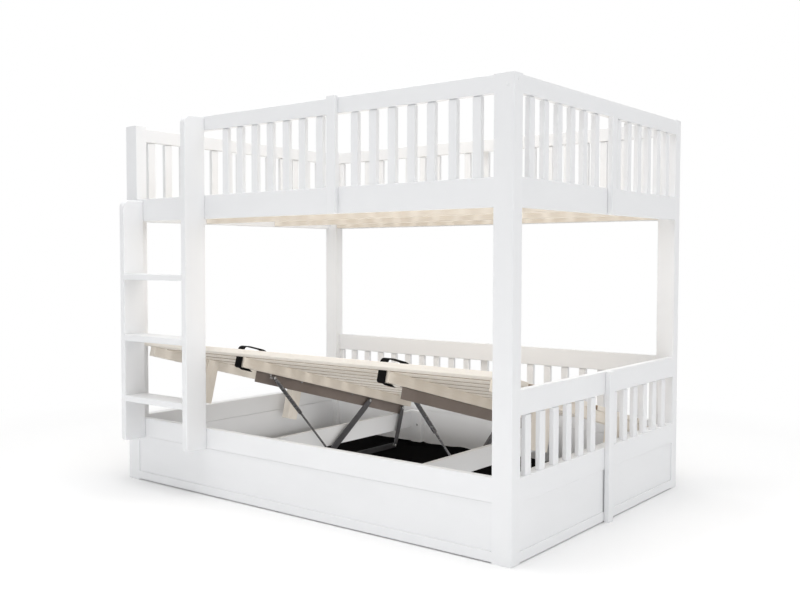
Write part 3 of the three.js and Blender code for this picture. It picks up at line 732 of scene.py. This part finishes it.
def paint_gap_shade(shape):
    """Marks the slats' long edges for painted shade, which darkens them as if the gaps between the
    slats were in shade.
    """
    gap_shade = shape.verts.layers.float["gap_shade"]
    for vert in shape.verts:
        past_edge = vert.co.y / MM % SLAT_PITCH
        nearest = min(past_edge, abs(past_edge - SLAT_WIDTH), SLAT_PITCH - past_edge)
        if nearest < 0.05:
            vert[gap_shade] = 1.0


def finish_lifted(name, shape):
    bmesh.ops.transform(shape, matrix=LIFT, verts=shape.verts)
    finish_piece(f"{name}_timber", shape, PINE, "platform", name)


def finish_platform():
    slats = []
    for index in range(SLAT_COUNT):
        start = SLAT_PITCH * index
        slats.append((SLAT_X, (start, start + SLAT_WIDTH), (0, SLAT_THICKNESS)))
    front = new_timber()
    add_lifted_lengths(front, slats[:1], "x", FRONT_SLAT_EDGE)
    rest = new_timber()
    add_lifted_lengths(rest, slats[1:], "x")
    # The long edges of the slats behind the front one get painted gap shade.
    paint_gap_shade(rest)
    for side in SIDES:
        beam = mirrored_span(side, *MIDDLE_BEAM_X)
        add_lifted_lengths(rest, [(beam, MIDDLE_BEAM_Y, MIDDLE_BEAM_Z)], "y")
    finish_lifted("platform_front_slat", front)
    finish_lifted("platform_slats", rest)
    for side in SIDES:
        beam = mirrored_span(side, *END_BEAM_X)
        leg = mirrored_span(side, *LEG_X)
        shape = new_timber()
        add_lifted_lengths(shape, [(beam, END_BEAM_Y, END_BEAM_Z)], "y")
        add_lifted_lengths(shape, [(leg, span, LEG_Z) for span in LEG_SPANS], "z", LEG_EDGE)
        finish_lifted(f"platform_end_beam_{side}", shape)


# Turned steel


def reach(seeds):
    """All points joined to the seeds by edges."""
    found = {vert for vert in seeds if vert.is_valid}
    border = list(found)
    while border:
        border = [
            other for vert in border for link in vert.link_edges
            for other in link.verts if other not in found and not found.add(other)
        ]
    return list(found)


def add_turned(shape, profile, matrix, steps):
    """Turns a profile of radius and height, in millimetres, about an axis the matrix places."""
    verts = [shape.verts.new((radius * MM, 0, height * MM)) for radius, height in profile]
    edges = [shape.edges.new(pair) for pair in zip(verts, verts[1:])]
    bmesh.ops.spin(
        shape, geom=verts + edges, cent=(0, 0, 0), axis=(0, 0, 1), dvec=(0, 0, 0),
        angle=math.tau, steps=steps, use_merge=True,
    )
    bmesh.ops.transform(shape, matrix=matrix, verts=reach(verts))


def finish_turned(name, parts, finish, body="frame", stands_for=None, steps=40):
    """A piece made of turned parts, each given by its profile and its place."""
    shape = bmesh.new()
    for profile, matrix in parts:
        add_turned(shape, profile, matrix, steps)
    bmesh.ops.remove_doubles(shape, verts=shape.verts, dist=0.02 * MM)
    bmesh.ops.recalc_face_normals(shape, faces=shape.faces)
    for face in shape.faces:
        face.smooth = True
    for edge in shape.edges:
        if edge.is_manifold and edge.calc_face_angle() > 0.6:
            edge.smooth = False
    finish_piece(name, shape, finish, body, stands_for)


def across_bed(side, x, y_z):
    """Turns an axis along Z to run across the arms, from x towards the middle of the bed."""
    direction = 1 if side == "left" else -1
    at = Vector((CORNER.x + mirrored(side, x) * MM, *y_z))
    return Matrix.Translation(at) @ Matrix.Rotation(direction * math.pi / 2, 4, "Y")


def rod_profile(radius, start, end, chamfer=0.4):
    return [
        (0, start), (radius - chamfer, start), (radius, start + chamfer),
        (radius, end - chamfer), (radius - chamfer, end), (0, end),
    ]


def domed_head(radius, height):
    turns = [step * math.pi / 12 for step in range(6)]
    dome = [(radius * math.cos(turn), height * math.sin(turn)) for turn in turns]
    return [(0, 0), *dome, (0, height)]


# Steel linkage

WEB_X = (607, 609.5)
BOSS_START = 607.5
BOSS_END = 617.2
ARM_PIN_END = 622.5
STRUT_BOSS_END = 628.2
STRUT_PIN_END = 637.5
HEAD_SETBACK = 0.7
PIN_LEVEL = -58.3
STRUT_PIN_ALONG = 309
FRONT_PIN_ALONG = 1019
REAR_PIN_ALONG = 1297
LIFT_ANGLE_Y = (216, 1310)
LIFT_ANGLE_TOP = -42.8
FLANGE_UNDERSIDE = -45.3
FLOOR_ANGLE_BOTTOM = 24
SCREWS_ALONG = (301, 508, 882)
SCREW_X = 614.5


def pivot(joint):
    return tuple(joint_places[joint][1:3])


def pin_spot(along):
    """Where a pin on the platform's angle stands, across the bed's depth and in height."""
    return tuple(on_platform(0, along, PIN_LEVEL).yz)


def pin_parts(side, y_z, boss_end=BOSS_END, pin_end=None):
    """A round boss on an angle's web, with the pin and rounded head that hold an arm on it."""
    at = across_bed(side, BOSS_START, y_z)
    parts = [(rod_profile(8, 0, boss_end - BOSS_START), at)]
    if pin_end:
        parts.append((rod_profile(4, 0, pin_end - BOSS_START), at))
        parts.append((domed_head(7, 3), across_bed(side, pin_end - HEAD_SETBACK, y_z)))
    return parts


def add_angle(shape, side, spans, y, matrix):
    """An L section along the bed's depth; spans are its web's and its flange's X and Z."""
    for x, z in spans:
        low, high = zip(mirrored_span(side, *x), y, z)
        made = add_block(shape, Vector(low) * MM, Vector(high) * MM)
        smooth_bevel(shape, edges_of(made), 0.0008, 2)
    bmesh.ops.transform(shape, matrix=matrix, verts=shape.verts)


def finish_lift_angle(side):
    """The angle under a middle beam, with its pins and the screws that hold it."""
    node_name = f"upper_angle_{side}"
    angle = bmesh.new()
    spans = [(WEB_X, (-90.5, LIFT_ANGLE_TOP)), ((607, 620), (FLANGE_UNDERSIDE, LIFT_ANGLE_TOP))]
    add_angle(angle, side, spans, LIFT_ANGLE_Y, LIFT)
    finish_piece(f"lift_angle_{side}", angle, TAUPE_STEEL, "platform", node_name)

    strut_spot = pin_spot(STRUT_PIN_ALONG)
    pins = pin_parts(side, pin_spot(FRONT_PIN_ALONG))
    pins.append((rod_profile(4, 0, 20.7), across_bed(side, BOSS_START, strut_spot)))
    pins.append((rod_profile(6.5, 0, 4), across_bed(side, WEB_X[1], strut_spot)))
    pins += pin_parts(side, pin_spot(REAR_PIN_ALONG), pin_end=ARM_PIN_END)
    finish_turned(f"lift_pins_{side}", pins, BOLT_STEEL, "platform", node_name)

    screws = []
    upside_down = Matrix.Rotation(math.pi - LIFT_TILT, 4, "X")
    for along in SCREWS_ALONG:
        at = on_platform(mirrored(side, SCREW_X), along, FLANGE_UNDERSIDE)
        screws.append((domed_head(5.2, 6.5), Matrix.Translation(at) @ upside_down))
    finish_turned(f"angle_screws_{side}", screws, BOLT_STEEL, "platform", node_name, 24)


def finish_floor_angle(side):
    """The angle on the storage floor, with the pins of both arms and of the strut."""
    node_name = f"lower_angle_{side}"
    low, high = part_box(node_name)
    y = ((low.y - CORNER.y) / MM, (high.y - CORNER.y) / MM)
    angle = bmesh.new()
    spans = [(WEB_X, (FLOOR_ANGLE_BOTTOM, 52)), ((584.5, WEB_X[1]), (FLOOR_ANGLE_BOTTOM, 26.5))]
    add_angle(angle, side, spans, y, Matrix.Translation(CORNER))
    finish_piece(f"floor_angle_{side}", angle, DARK_STEEL, "frame", node_name)

    pins = []
    for kind in ("front", "rear"):
        pins += pin_parts(side, pivot(f"{kind}_arm_{side}_swing"), pin_end=ARM_PIN_END)
    pins += pin_parts(side, pivot(f"strut_{side}_swing"), STRUT_BOSS_END, STRUT_PIN_END)
    finish_turned(f"floor_pins_{side}", pins, BOLT_STEEL, "frame", node_name)


# Along the platform to the top pin, then the ends' radius, half the middle's width, how far from
# the pins that width starts, and the groove's depth.
ARMS = {
    "front": (FRONT_PIN_ALONG, 12.5, 17.0, 46, 1.4),
    "rear": (REAR_PIN_ALONG, 11, 14.5, 32, 1.2),
}
ARM_X = 617.5
ARM_THICKNESS = 4
LIP_THICKNESS = 2.2
LIP_Z = (-6.2, 1.5)
BORE_RADIUS = 4.5
RIVET_X = 621.5


def link_matrix(side, x, foot, top):
    """From a link's own frame, X along it and Z through it from x, to the bed's; its length."""
    along = Vector((0, top[0] - foot[0], top[1] - foot[1])).normalized()
    outward = Vector((1 if side == "left" else -1, 0, 0))
    across = outward.cross(along)
    turn = Matrix((along, across, outward)).transposed().to_4x4()
    at = Vector((CORNER.x + mirrored(side, x) * MM, *foot))
    return Matrix.Translation(at) @ turn, math.dist(foot, top) / MM


def arm_outline(length, radius, half_width, taper):
    """Half circles about both pivots, joined by a wider middle; a closed line in millimetres."""
    turns = [math.radians(100 + 160 * step / 12) for step in range(13)]
    foot = [(radius * math.cos(turn), radius * math.sin(turn)) for turn in turns]
    lower = [(taper, -half_width), (length - taper, -half_width)]
    top = [(length - x, -y) for x, y in foot]
    upper = [(length - taper, half_width), (taper, half_width)]
    return [*foot, *lower, *top, *upper]


def add_pressed_link(shape, length, radius, half_width, taper, groove):
    """A pressed arm with round ends, a groove along its face and its long edges turned in."""
    outline = arm_outline(length, radius, half_width, taper)
    base = shape.faces.new([shape.verts.new((x * MM, y * MM, 0)) for x, y in outline])
    grown = bmesh.ops.extrude_face_region(shape, geom=[base])["geom"]
    raised = [item for item in grown if isinstance(item, bmesh.types.BMVert)]
    bmesh.ops.translate(shape, vec=(0, 0, ARM_THICKNESS * MM), verts=raised)
    bmesh.ops.recalc_face_normals(shape, faces=shape.faces)
    smooth_bevel(shape, sharp_edges(shape.edges), 0.0006, 2)
    top = [face for face in shape.faces if face.normal.z > 0.99 and face.calc_area() > 0.0005]
    bmesh.ops.inset_region(shape, faces=top, thickness=0.0032, depth=0)
    bmesh.ops.inset_region(shape, faces=top, thickness=0.0016, depth=-groove * MM)
    for edge in (-1, 1):
        across = sorted((edge * half_width, edge * (half_width - LIP_THICKNESS)))
        low, high = zip((taper, length - taper), across, LIP_Z)
        lip = add_block(shape, Vector(low) * MM, Vector(high) * MM)
        smooth_bevel(shape, edges_of(lip), 0.0006, 2)


def drill(made, centre_y_z):
    """Cuts a round hole across the bed through a finished plate."""
    shape = bmesh.new()
    bmesh.ops.create_cone(
        shape, cap_ends=True, segments=32, radius1=BORE_RADIUS * MM, radius2=BORE_RADIUS * MM,
        depth=0.2, matrix=Matrix.Rotation(math.pi / 2, 4, "Y"),
    )
    plate_x = made.data.vertices[0].co.x
    bmesh.ops.translate(shape, vec=(plate_x, *centre_y_z), verts=shape.verts)
    cutter = new_object("drill", shape)
    cut = made.modifiers.new("pin_hole", "BOOLEAN")
    cut.operation = "DIFFERENCE"
    cut.solver = "EXACT"
    cut.object = cutter
    bpy.context.view_layer.update()
    drilled = made.evaluated_get(bpy.context.evaluated_depsgraph_get())
    whole = bpy.data.meshes.new_from_object(drilled)
    made.modifiers.clear()
    made.data = whole
    bpy.data.objects.remove(cutter)


def finish_arm(side, kind):
    """A rear arm is bored at both ends; a front arm has a rivet at its top instead."""
    along, radius, half_width, taper, groove = ARMS[kind]
    name = f"{kind}_arm_{side}"
    foot = pivot(f"{name}_swing")
    top = pin_spot(along)
    matrix, length = link_matrix(side, ARM_X, foot, top)
    shape = bmesh.new()
    add_pressed_link(shape, length, radius, half_width, taper, groove)
    bmesh.ops.transform(shape, matrix=matrix, verts=shape.verts)
    arm = finish_piece(f"{name}_plate", shape, ARM_STEEL, name, name)
    drill(arm, foot)
    if kind == "rear":
        drill(arm, top)
    else:
        rivet = [(domed_head(7, 2.9), across_bed(side, RIVET_X, top))]
        finish_turned(f"{name}_rivet", rivet, BOLT_STEEL, name, name)


STRUT_X = 632.5
STRUT_EYE_X = 628.5
STRUT_CLIP_X = 636.4
STRUT_MOUTH_BELOW_TOP = 242
# Radius and height over the cylinder's mouth, from inside the bore to the stud at its end.
CYLINDER = (
    (5.4, 238), (5.4, 0), (7.6, 0), (8.3, 1), (8.3, 5), (7.7, 6.5), (7.7, 8.5), (9, 11),
    (9, 226), (8.6, 229), (7, 232), (4.2, 232.5), (4.2, 240), (3, 240),
)
ROD_RADIUS = 4.8
ROD_COLLAR = [(4.8, 8.5), (6.8, 8.5), (6.8, 16), (5.8, 18), (4.8, 18)]
STRUT_EYE = [(4.6, 0), (8, 0), (9, 1), (9, 7), (8, 8), (4.6, 8), (4.6, 0)]


def finish_strut(side):
    """A painted cylinder with a crimped mouth and shoulder, a rod and two eyes in the same paint,
    and a clip.
    """
    cylinder_name, rod_name = f"strut_cylinder_{side}", f"strut_rod_{side}"
    foot = pivot(f"strut_{side}_swing")
    top = pin_spot(STRUT_PIN_ALONG)
    start = Vector((CORNER.x + mirrored(side, STRUT_X) * MM, *foot))
    end = Vector((start.x, *top))
    turn = Vector((0, 0, 1)).rotation_difference(end - start).to_matrix().to_4x4()
    aim = Matrix.Translation(start) @ turn
    mouth = math.dist(foot, top) / MM - STRUT_MOUTH_BELOW_TOP
    tube = [([(radius, mouth + height) for radius, height in CYLINDER], aim)]
    finish_turned(f"{cylinder_name}_tube", tube, STRUT_PAINT, cylinder_name, cylinder_name, 48)
    rod = [(rod_profile(ROD_RADIUS, 9, mouth + 30), aim), (ROD_COLLAR, aim)]
    finish_turned(f"{rod_name}_bar", rod, STRUT_PAINT, rod_name, rod_name, 32)
    for body, spot in ((rod_name, foot), (cylinder_name, top)):
        eye = [(STRUT_EYE, across_bed(side, STRUT_EYE_X, spot))]
        finish_turned(f"{body}_eye", eye, STRUT_PAINT, body, body)
    clip = [(domed_head(6.2, 3.2), across_bed(side, STRUT_CLIP_X, top))]
    finish_turned(f"{cylinder_name}_clip", clip, BOLT_STEEL, cylinder_name, cylinder_name)


def finish_linkage():
    for side in SIDES:
        finish_lift_angle(side)
        finish_floor_angle(side)
    for side in SIDES:
        for kind in ARMS:
            finish_arm(side, kind)
    for side in SIDES:
        finish_strut(side)


# Soft pieces

STRAP_CENTRES = {"left": 604, "right": 1380}
STRAP_WIDTH = 38
STRAP_THICKNESS = 0.0034
FOOT_LEVEL = -44.7
FOOT_HANG = 7.5


def curve(start, leave, arrive, end, steps):
    """Points along a smooth curve, without its start."""
    points = []
    for index in range(1, steps + 1):
        t = index / steps
        weights = ((1 - t) ** 3, 3 * t * (1 - t) ** 2, 3 * t * t * (1 - t), t ** 3)
        handles = list(zip(weights, (start, leave, arrive, end)))
        points.append(tuple(sum(weight * spot[k] for weight, spot in handles) for k in (0, 1)))
    return points


def strap_line():
    """The strap's middle line in the platform's frame, as distance back and height.

    It starts at the foot under the beam, goes up past the front slat and ends behind the next one.
    """
    line = [(176 - 5.8 * index, FOOT_LEVEL) for index in range(11)]
    line += curve((118, FOOT_LEVEL), (111, FOOT_LEVEL), (105.5, -43.5), (105, -37), 8)
    line += [(105 + 0.1 * index, -37 + 4.6 * index) for index in range(1, 14)]
    line += curve((106.3, 22.7), (106.5, 43), (114, 49), (140, 51), 14)
    line += [(140 + 12.5 * index, 51 + 0.1 * index) for index in range(1, 7)]
    line += curve((215, 51.6), (242, 51), (251, 42), (251, 12), 16)
    line += [(251, 8), (251, 3)]
    return line


def foot_drop(across, height):
    """How far the strap's foot hangs down, on the side away from the beam's screws."""
    hang = clamped((across - 1) / 15) * clamped((-30 - height) / 9)
    return FOOT_HANG * hang * hang * (3 - 2 * hang)


def finish_straps():
    line = strap_line()
    count = len(line) - 1
    lengths = [0.0]
    for before, after in zip(line, line[1:]):
        lengths.append(lengths[-1] + math.dist(before, after) * MM)
    for side in SIDES:
        name = f"pull_strap_{side}"
        shape = bmesh.new()
        weave = shape.verts.layers.float_vector.new("weave")
        grid = bmesh.ops.create_grid(shape, x_segments=count, y_segments=10, size=0.5)["verts"]
        for vert in grid:
            index = round((vert.co.x + 0.5) * count)
            across = vert.co.y * STRAP_WIDTH
            along, height = line[index]
            vert[weave] = Vector((lengths[index], across * MM, 0))
            drop = foot_drop(across, height)
            vert.co = on_platform(STRAP_CENTRES[side] + across, along, height - drop)
        for face in shape.faces:
            face.smooth = True
        made = finish_piece(f"{name}_webbing", shape, WEBBING, "platform", name)
        thick = made.modifiers.new("thickness", "SOLIDIFY")
        thick.thickness = STRAP_THICKNESS
        thick.offset = 0
        rounded = made.modifiers.new("edges", "BEVEL")
        rounded.width = 0.0008
        rounded.segments = 2
        rounded.limit_method = "ANGLE"
        rounded.angle_limit = 1.0


LINING_CORNER = (51, 29)
LINING_SIZE = (1908, 1362)
LINING_GRID = (106, 76)
LINING_Z = 22.2
LINING_THICKNESS = 0.0012
RIPPLE_HEIGHT = 0.8
RIPPLE_LENGTH = 160
RUCK_LENGTH = 95
BACK_TURN_UP_DEPTH = 46
BACK_TURN_UP = 18
BATTEN_TURN_UP_Y = 1330
BATTEN_TURN_UP = 15
RAISED_X = (634.5, 1375.5)
RAISED_HALF_WIDTH = 52
NOTCH_X = (634.75, 1375.25)
NOTCH_HALF_WIDTH = 34
NOTCH_Y = (64, 1354)
POST_CUT_OUT = (79, 60)


def lining_lift(x, y):
    """How far the lining stands off the floor: ripples, and its turned up edges at the back."""
    ripple = 0.5 + 0.5 * noise.noise(Vector((x / RIPPLE_LENGTH, y / RIPPLE_LENGTH, 3)))
    back_edge = LINING_CORNER[1] + LINING_SIZE[1]
    to_back = max(0.0, 1 - (back_edge - y) / BACK_TURN_UP_DEPTH)
    ruck = 0.55 + 0.45 * noise.noise(Vector((x / RUCK_LENGTH, 0, 7)))
    lift = RIPPLE_HEIGHT * ripple + BACK_TURN_UP * to_back ** 2 * ruck
    past_side = RAISED_HALF_WIDTH - min(abs(x - middle) for middle in RAISED_X)
    past_start = y - BATTEN_TURN_UP_Y
    if past_side > 0 and past_start > 0:
        lift = max(lift, BATTEN_TURN_UP * min(1.0, past_start / 22) * min(1.0, past_side / 14))
    return lift


def is_cut_out(x, y):
    """Whether the lining is cut away here, round a post or a batten."""
    across, deep = POST_CUT_OUT
    by_post = min(x, BED_LENGTH - x) < across and min(y, BED_DEPTH - y) < deep
    by_batten = min(abs(x - middle) for middle in NOTCH_X) < NOTCH_HALF_WIDTH
    return by_post or (by_batten and not NOTCH_Y[0] < y < NOTCH_Y[1])


def finish_lining():
    """Lining felt laid on the storage floor, cut out at the posts and the battens."""
    columns, rows = LINING_GRID
    shape = bmesh.new()
    grid = bmesh.ops.create_grid(shape, x_segments=columns, y_segments=rows, size=0.5)["verts"]
    for vert in grid:
        x = LINING_CORNER[0] + (vert.co.x + 0.5) * LINING_SIZE[0]
        y = LINING_CORNER[1] + (vert.co.y + 0.5) * LINING_SIZE[1]
        vert.co = place(x, y, LINING_Z + lining_lift(x, y))
    cut_out = []
    for face in shape.faces:
        middle = (face.calc_center_median() - CORNER) / MM
        if is_cut_out(middle.x, middle.y):
            cut_out.append(face)
    bmesh.ops.delete(shape, geom=cut_out, context="FACES")
    for face in shape.faces:
        face.smooth = True
    made = finish_piece("storage_lining_felt", shape, FELT, "frame", "storage_liner")
    thick = made.modifiers.new("thickness", "SOLIDIFY")
    thick.thickness = LINING_THICKNESS
    thick.offset = 0


# Small fittings

CAP_PROFILE = [(0, 0), (6, 0), (6, 0.5), (5.4, 0.9), (0, 1.0)]
FACING_FRONT = Matrix.Rotation(math.pi / 2, 4, "X")
FACING_RIGHT = Matrix.Rotation(math.pi / 2, 4, "Y")


def finish_caps():
    """Flush screw caps on the front right post, and a bolt on each back batten."""
    caps = [
        (CAP_PROFILE, Matrix.Translation(place(1987, 0, 1560)) @ FACING_FRONT),
        (CAP_PROFILE, Matrix.Translation(place(BED_LENGTH, 27.5, 1580)) @ FACING_RIGHT),
    ]
    finish_turned("post_screw_caps", caps, LACQUER, steps=28)
    bolts = []
    for side in SIDES:
        at = place(mirrored(side, 643), BATTEN_SPANS[1][0], 128)
        bolts.append((domed_head(6, 2.5), Matrix.Translation(at) @ FACING_FRONT))
    finish_turned("batten_bolts", bolts, BOLT_STEEL, steps=24)


finish_posts()
finish_rails()
finish_guards()
finish_mid_posts()
finish_ladder()
finish_storage_box()
finish_upper_deck()
finish_platform()
finish_linkage()
finish_straps()
finish_lining()
finish_caps()


# Floor, light and camera

FLOOR_HALF_SIZE = 30
SHADOW_REACH = (1.5, 3.2)
SOFT_SKY = 0.54
WHITE = (1, 1, 1, 1)
# Name, size, place, what it points at and its power.
LAMPS = (
    ("camera_side_light", (2.5, 2.5), (2.9, -3.9, 1.7), (0, 0, 0.7), 9.5),
    ("low_front_light", (2.0, 2.0), (2.7, -3.4, 0.5), (0, 0, 0.5), 3.4),
    ("side_light", (3.0, 3.0), (4.8, 0.3, 1.6), (0, 0, 0.7), 25),
    ("top_light", (4.0, 4.0), (0, -0.3, 4.5), (0, 0, 0.7), 165),
    ("floor_glow", (4.0, 1.2), (0.2, -1.9, 0.03), (0.1, -0.2, 1.0), 11.5),
    ("storage_fill", (1.8, 1.0), (0, 0.05, 0.06), (0, 0.05, 1), 5.3),
    ("gap_light", (1.8, 1.2), (0, 0, 1.14), (0, 0.001, 0), 5.5),
)


def seen_by(tree, *rays):
    """1 for the rays of these kinds, 0 for all others."""
    path = node(tree, "ShaderNodeLightPath")
    seen = path.outputs[rays[0]]
    for ray in rays[1:]:
        seen = math_of(tree, "MAXIMUM", seen, path.outputs[ray])
    return seen


def blended(tree, factor, first, second):
    return node_of(tree, "ShaderNodeMixShader", {}, factor, first, second).outputs[0]


def pale_floor():
    """A pale floor that keeps the bed's shadow and turns white away from it."""
    finish, tree, shader = new_finish("studio_floor")
    set_surface(tree, shader, (0.95, 0.95, 0.95, 1), 0.9, 0.0)
    distance = node_of(tree, "ShaderNodeVectorMath", {"operation": "LENGTH"}, own_places(tree))
    fade = node(
        tree, "ShaderNodeMapRange", {"interpolation_type": "SMOOTHSTEP"},
        Value=distance.outputs["Value"], From_Min=SHADOW_REACH[0], From_Max=SHADOW_REACH[1],
    ).outputs[0]
    white = node(tree, "ShaderNodeEmission", Color=WHITE, Strength=1.0).outputs[0]
    direct = seen_by(tree, "Is Camera Ray", "Is Glossy Ray")
    blend = blended(tree, math_of(tree, "MULTIPLY", direct, fade), shader.outputs[0], white)
    feed(tree, tree.nodes["Material Output"].inputs[0], blend)
    shape = bmesh.new()
    bmesh.ops.create_grid(shape, x_segments=1, y_segments=1, size=FLOOR_HALF_SIZE)
    new_object("studio_floor", shape, finish)


def studio_sky():
    """A soft white sky, which is seen as plain white."""
    world = bpy.data.worlds.new("studio")
    world.use_nodes = True
    tree = world.node_tree
    tree.nodes.clear()
    seen = seen_by(tree, "Is Camera Ray", "Is Glossy Ray", "Is Transmission Ray")
    soft = node(tree, "ShaderNodeBackground", Color=WHITE, Strength=SOFT_SKY).outputs[0]
    white = node(tree, "ShaderNodeBackground", Color=WHITE, Strength=1.0).outputs[0]
    node_of(tree, "ShaderNodeOutputWorld", {}, blended(tree, seen, soft, white))
    bpy.context.scene.world = world


def studio_lamps():
    for name, size, at, target, energy in LAMPS:
        lamp = bpy.data.lights.new(name, "AREA")
        lamp.shape = "RECTANGLE"
        lamp.size, lamp.size_y = size
        lamp.energy = energy
        made = bpy.data.objects.new(name, lamp)
        made.location = at
        aim = Vector(target) - Vector(at)
        made.rotation_euler = aim.to_track_quat("-Z", "Y").to_euler()
        made.visible_camera = False
        made.visible_glossy = False
        bpy.context.scene.collection.objects.link(made)


def photo_camera():
    lens = bpy.data.cameras.new("photo_camera")
    lens.sensor_width = 36
    lens.lens = 42.191
    lens.shift_x = 0.04755
    lens.shift_y = -0.00078
    lens.clip_start = 0.05
    lens.clip_end = 100
    made = bpy.data.objects.new("photo_camera", lens)
    made.location = (2.5353, -3.2915, 1.00556)
    made.rotation_euler = (math.radians(90) - 0.0438, 0.0, 0.6876)
    bpy.context.scene.collection.objects.link(made)
    bpy.context.scene.camera = made


pale_floor()
studio_sky()
studio_lamps()
photo_camera()
bpy.context.scene.view_settings.view_transform = "Standard"
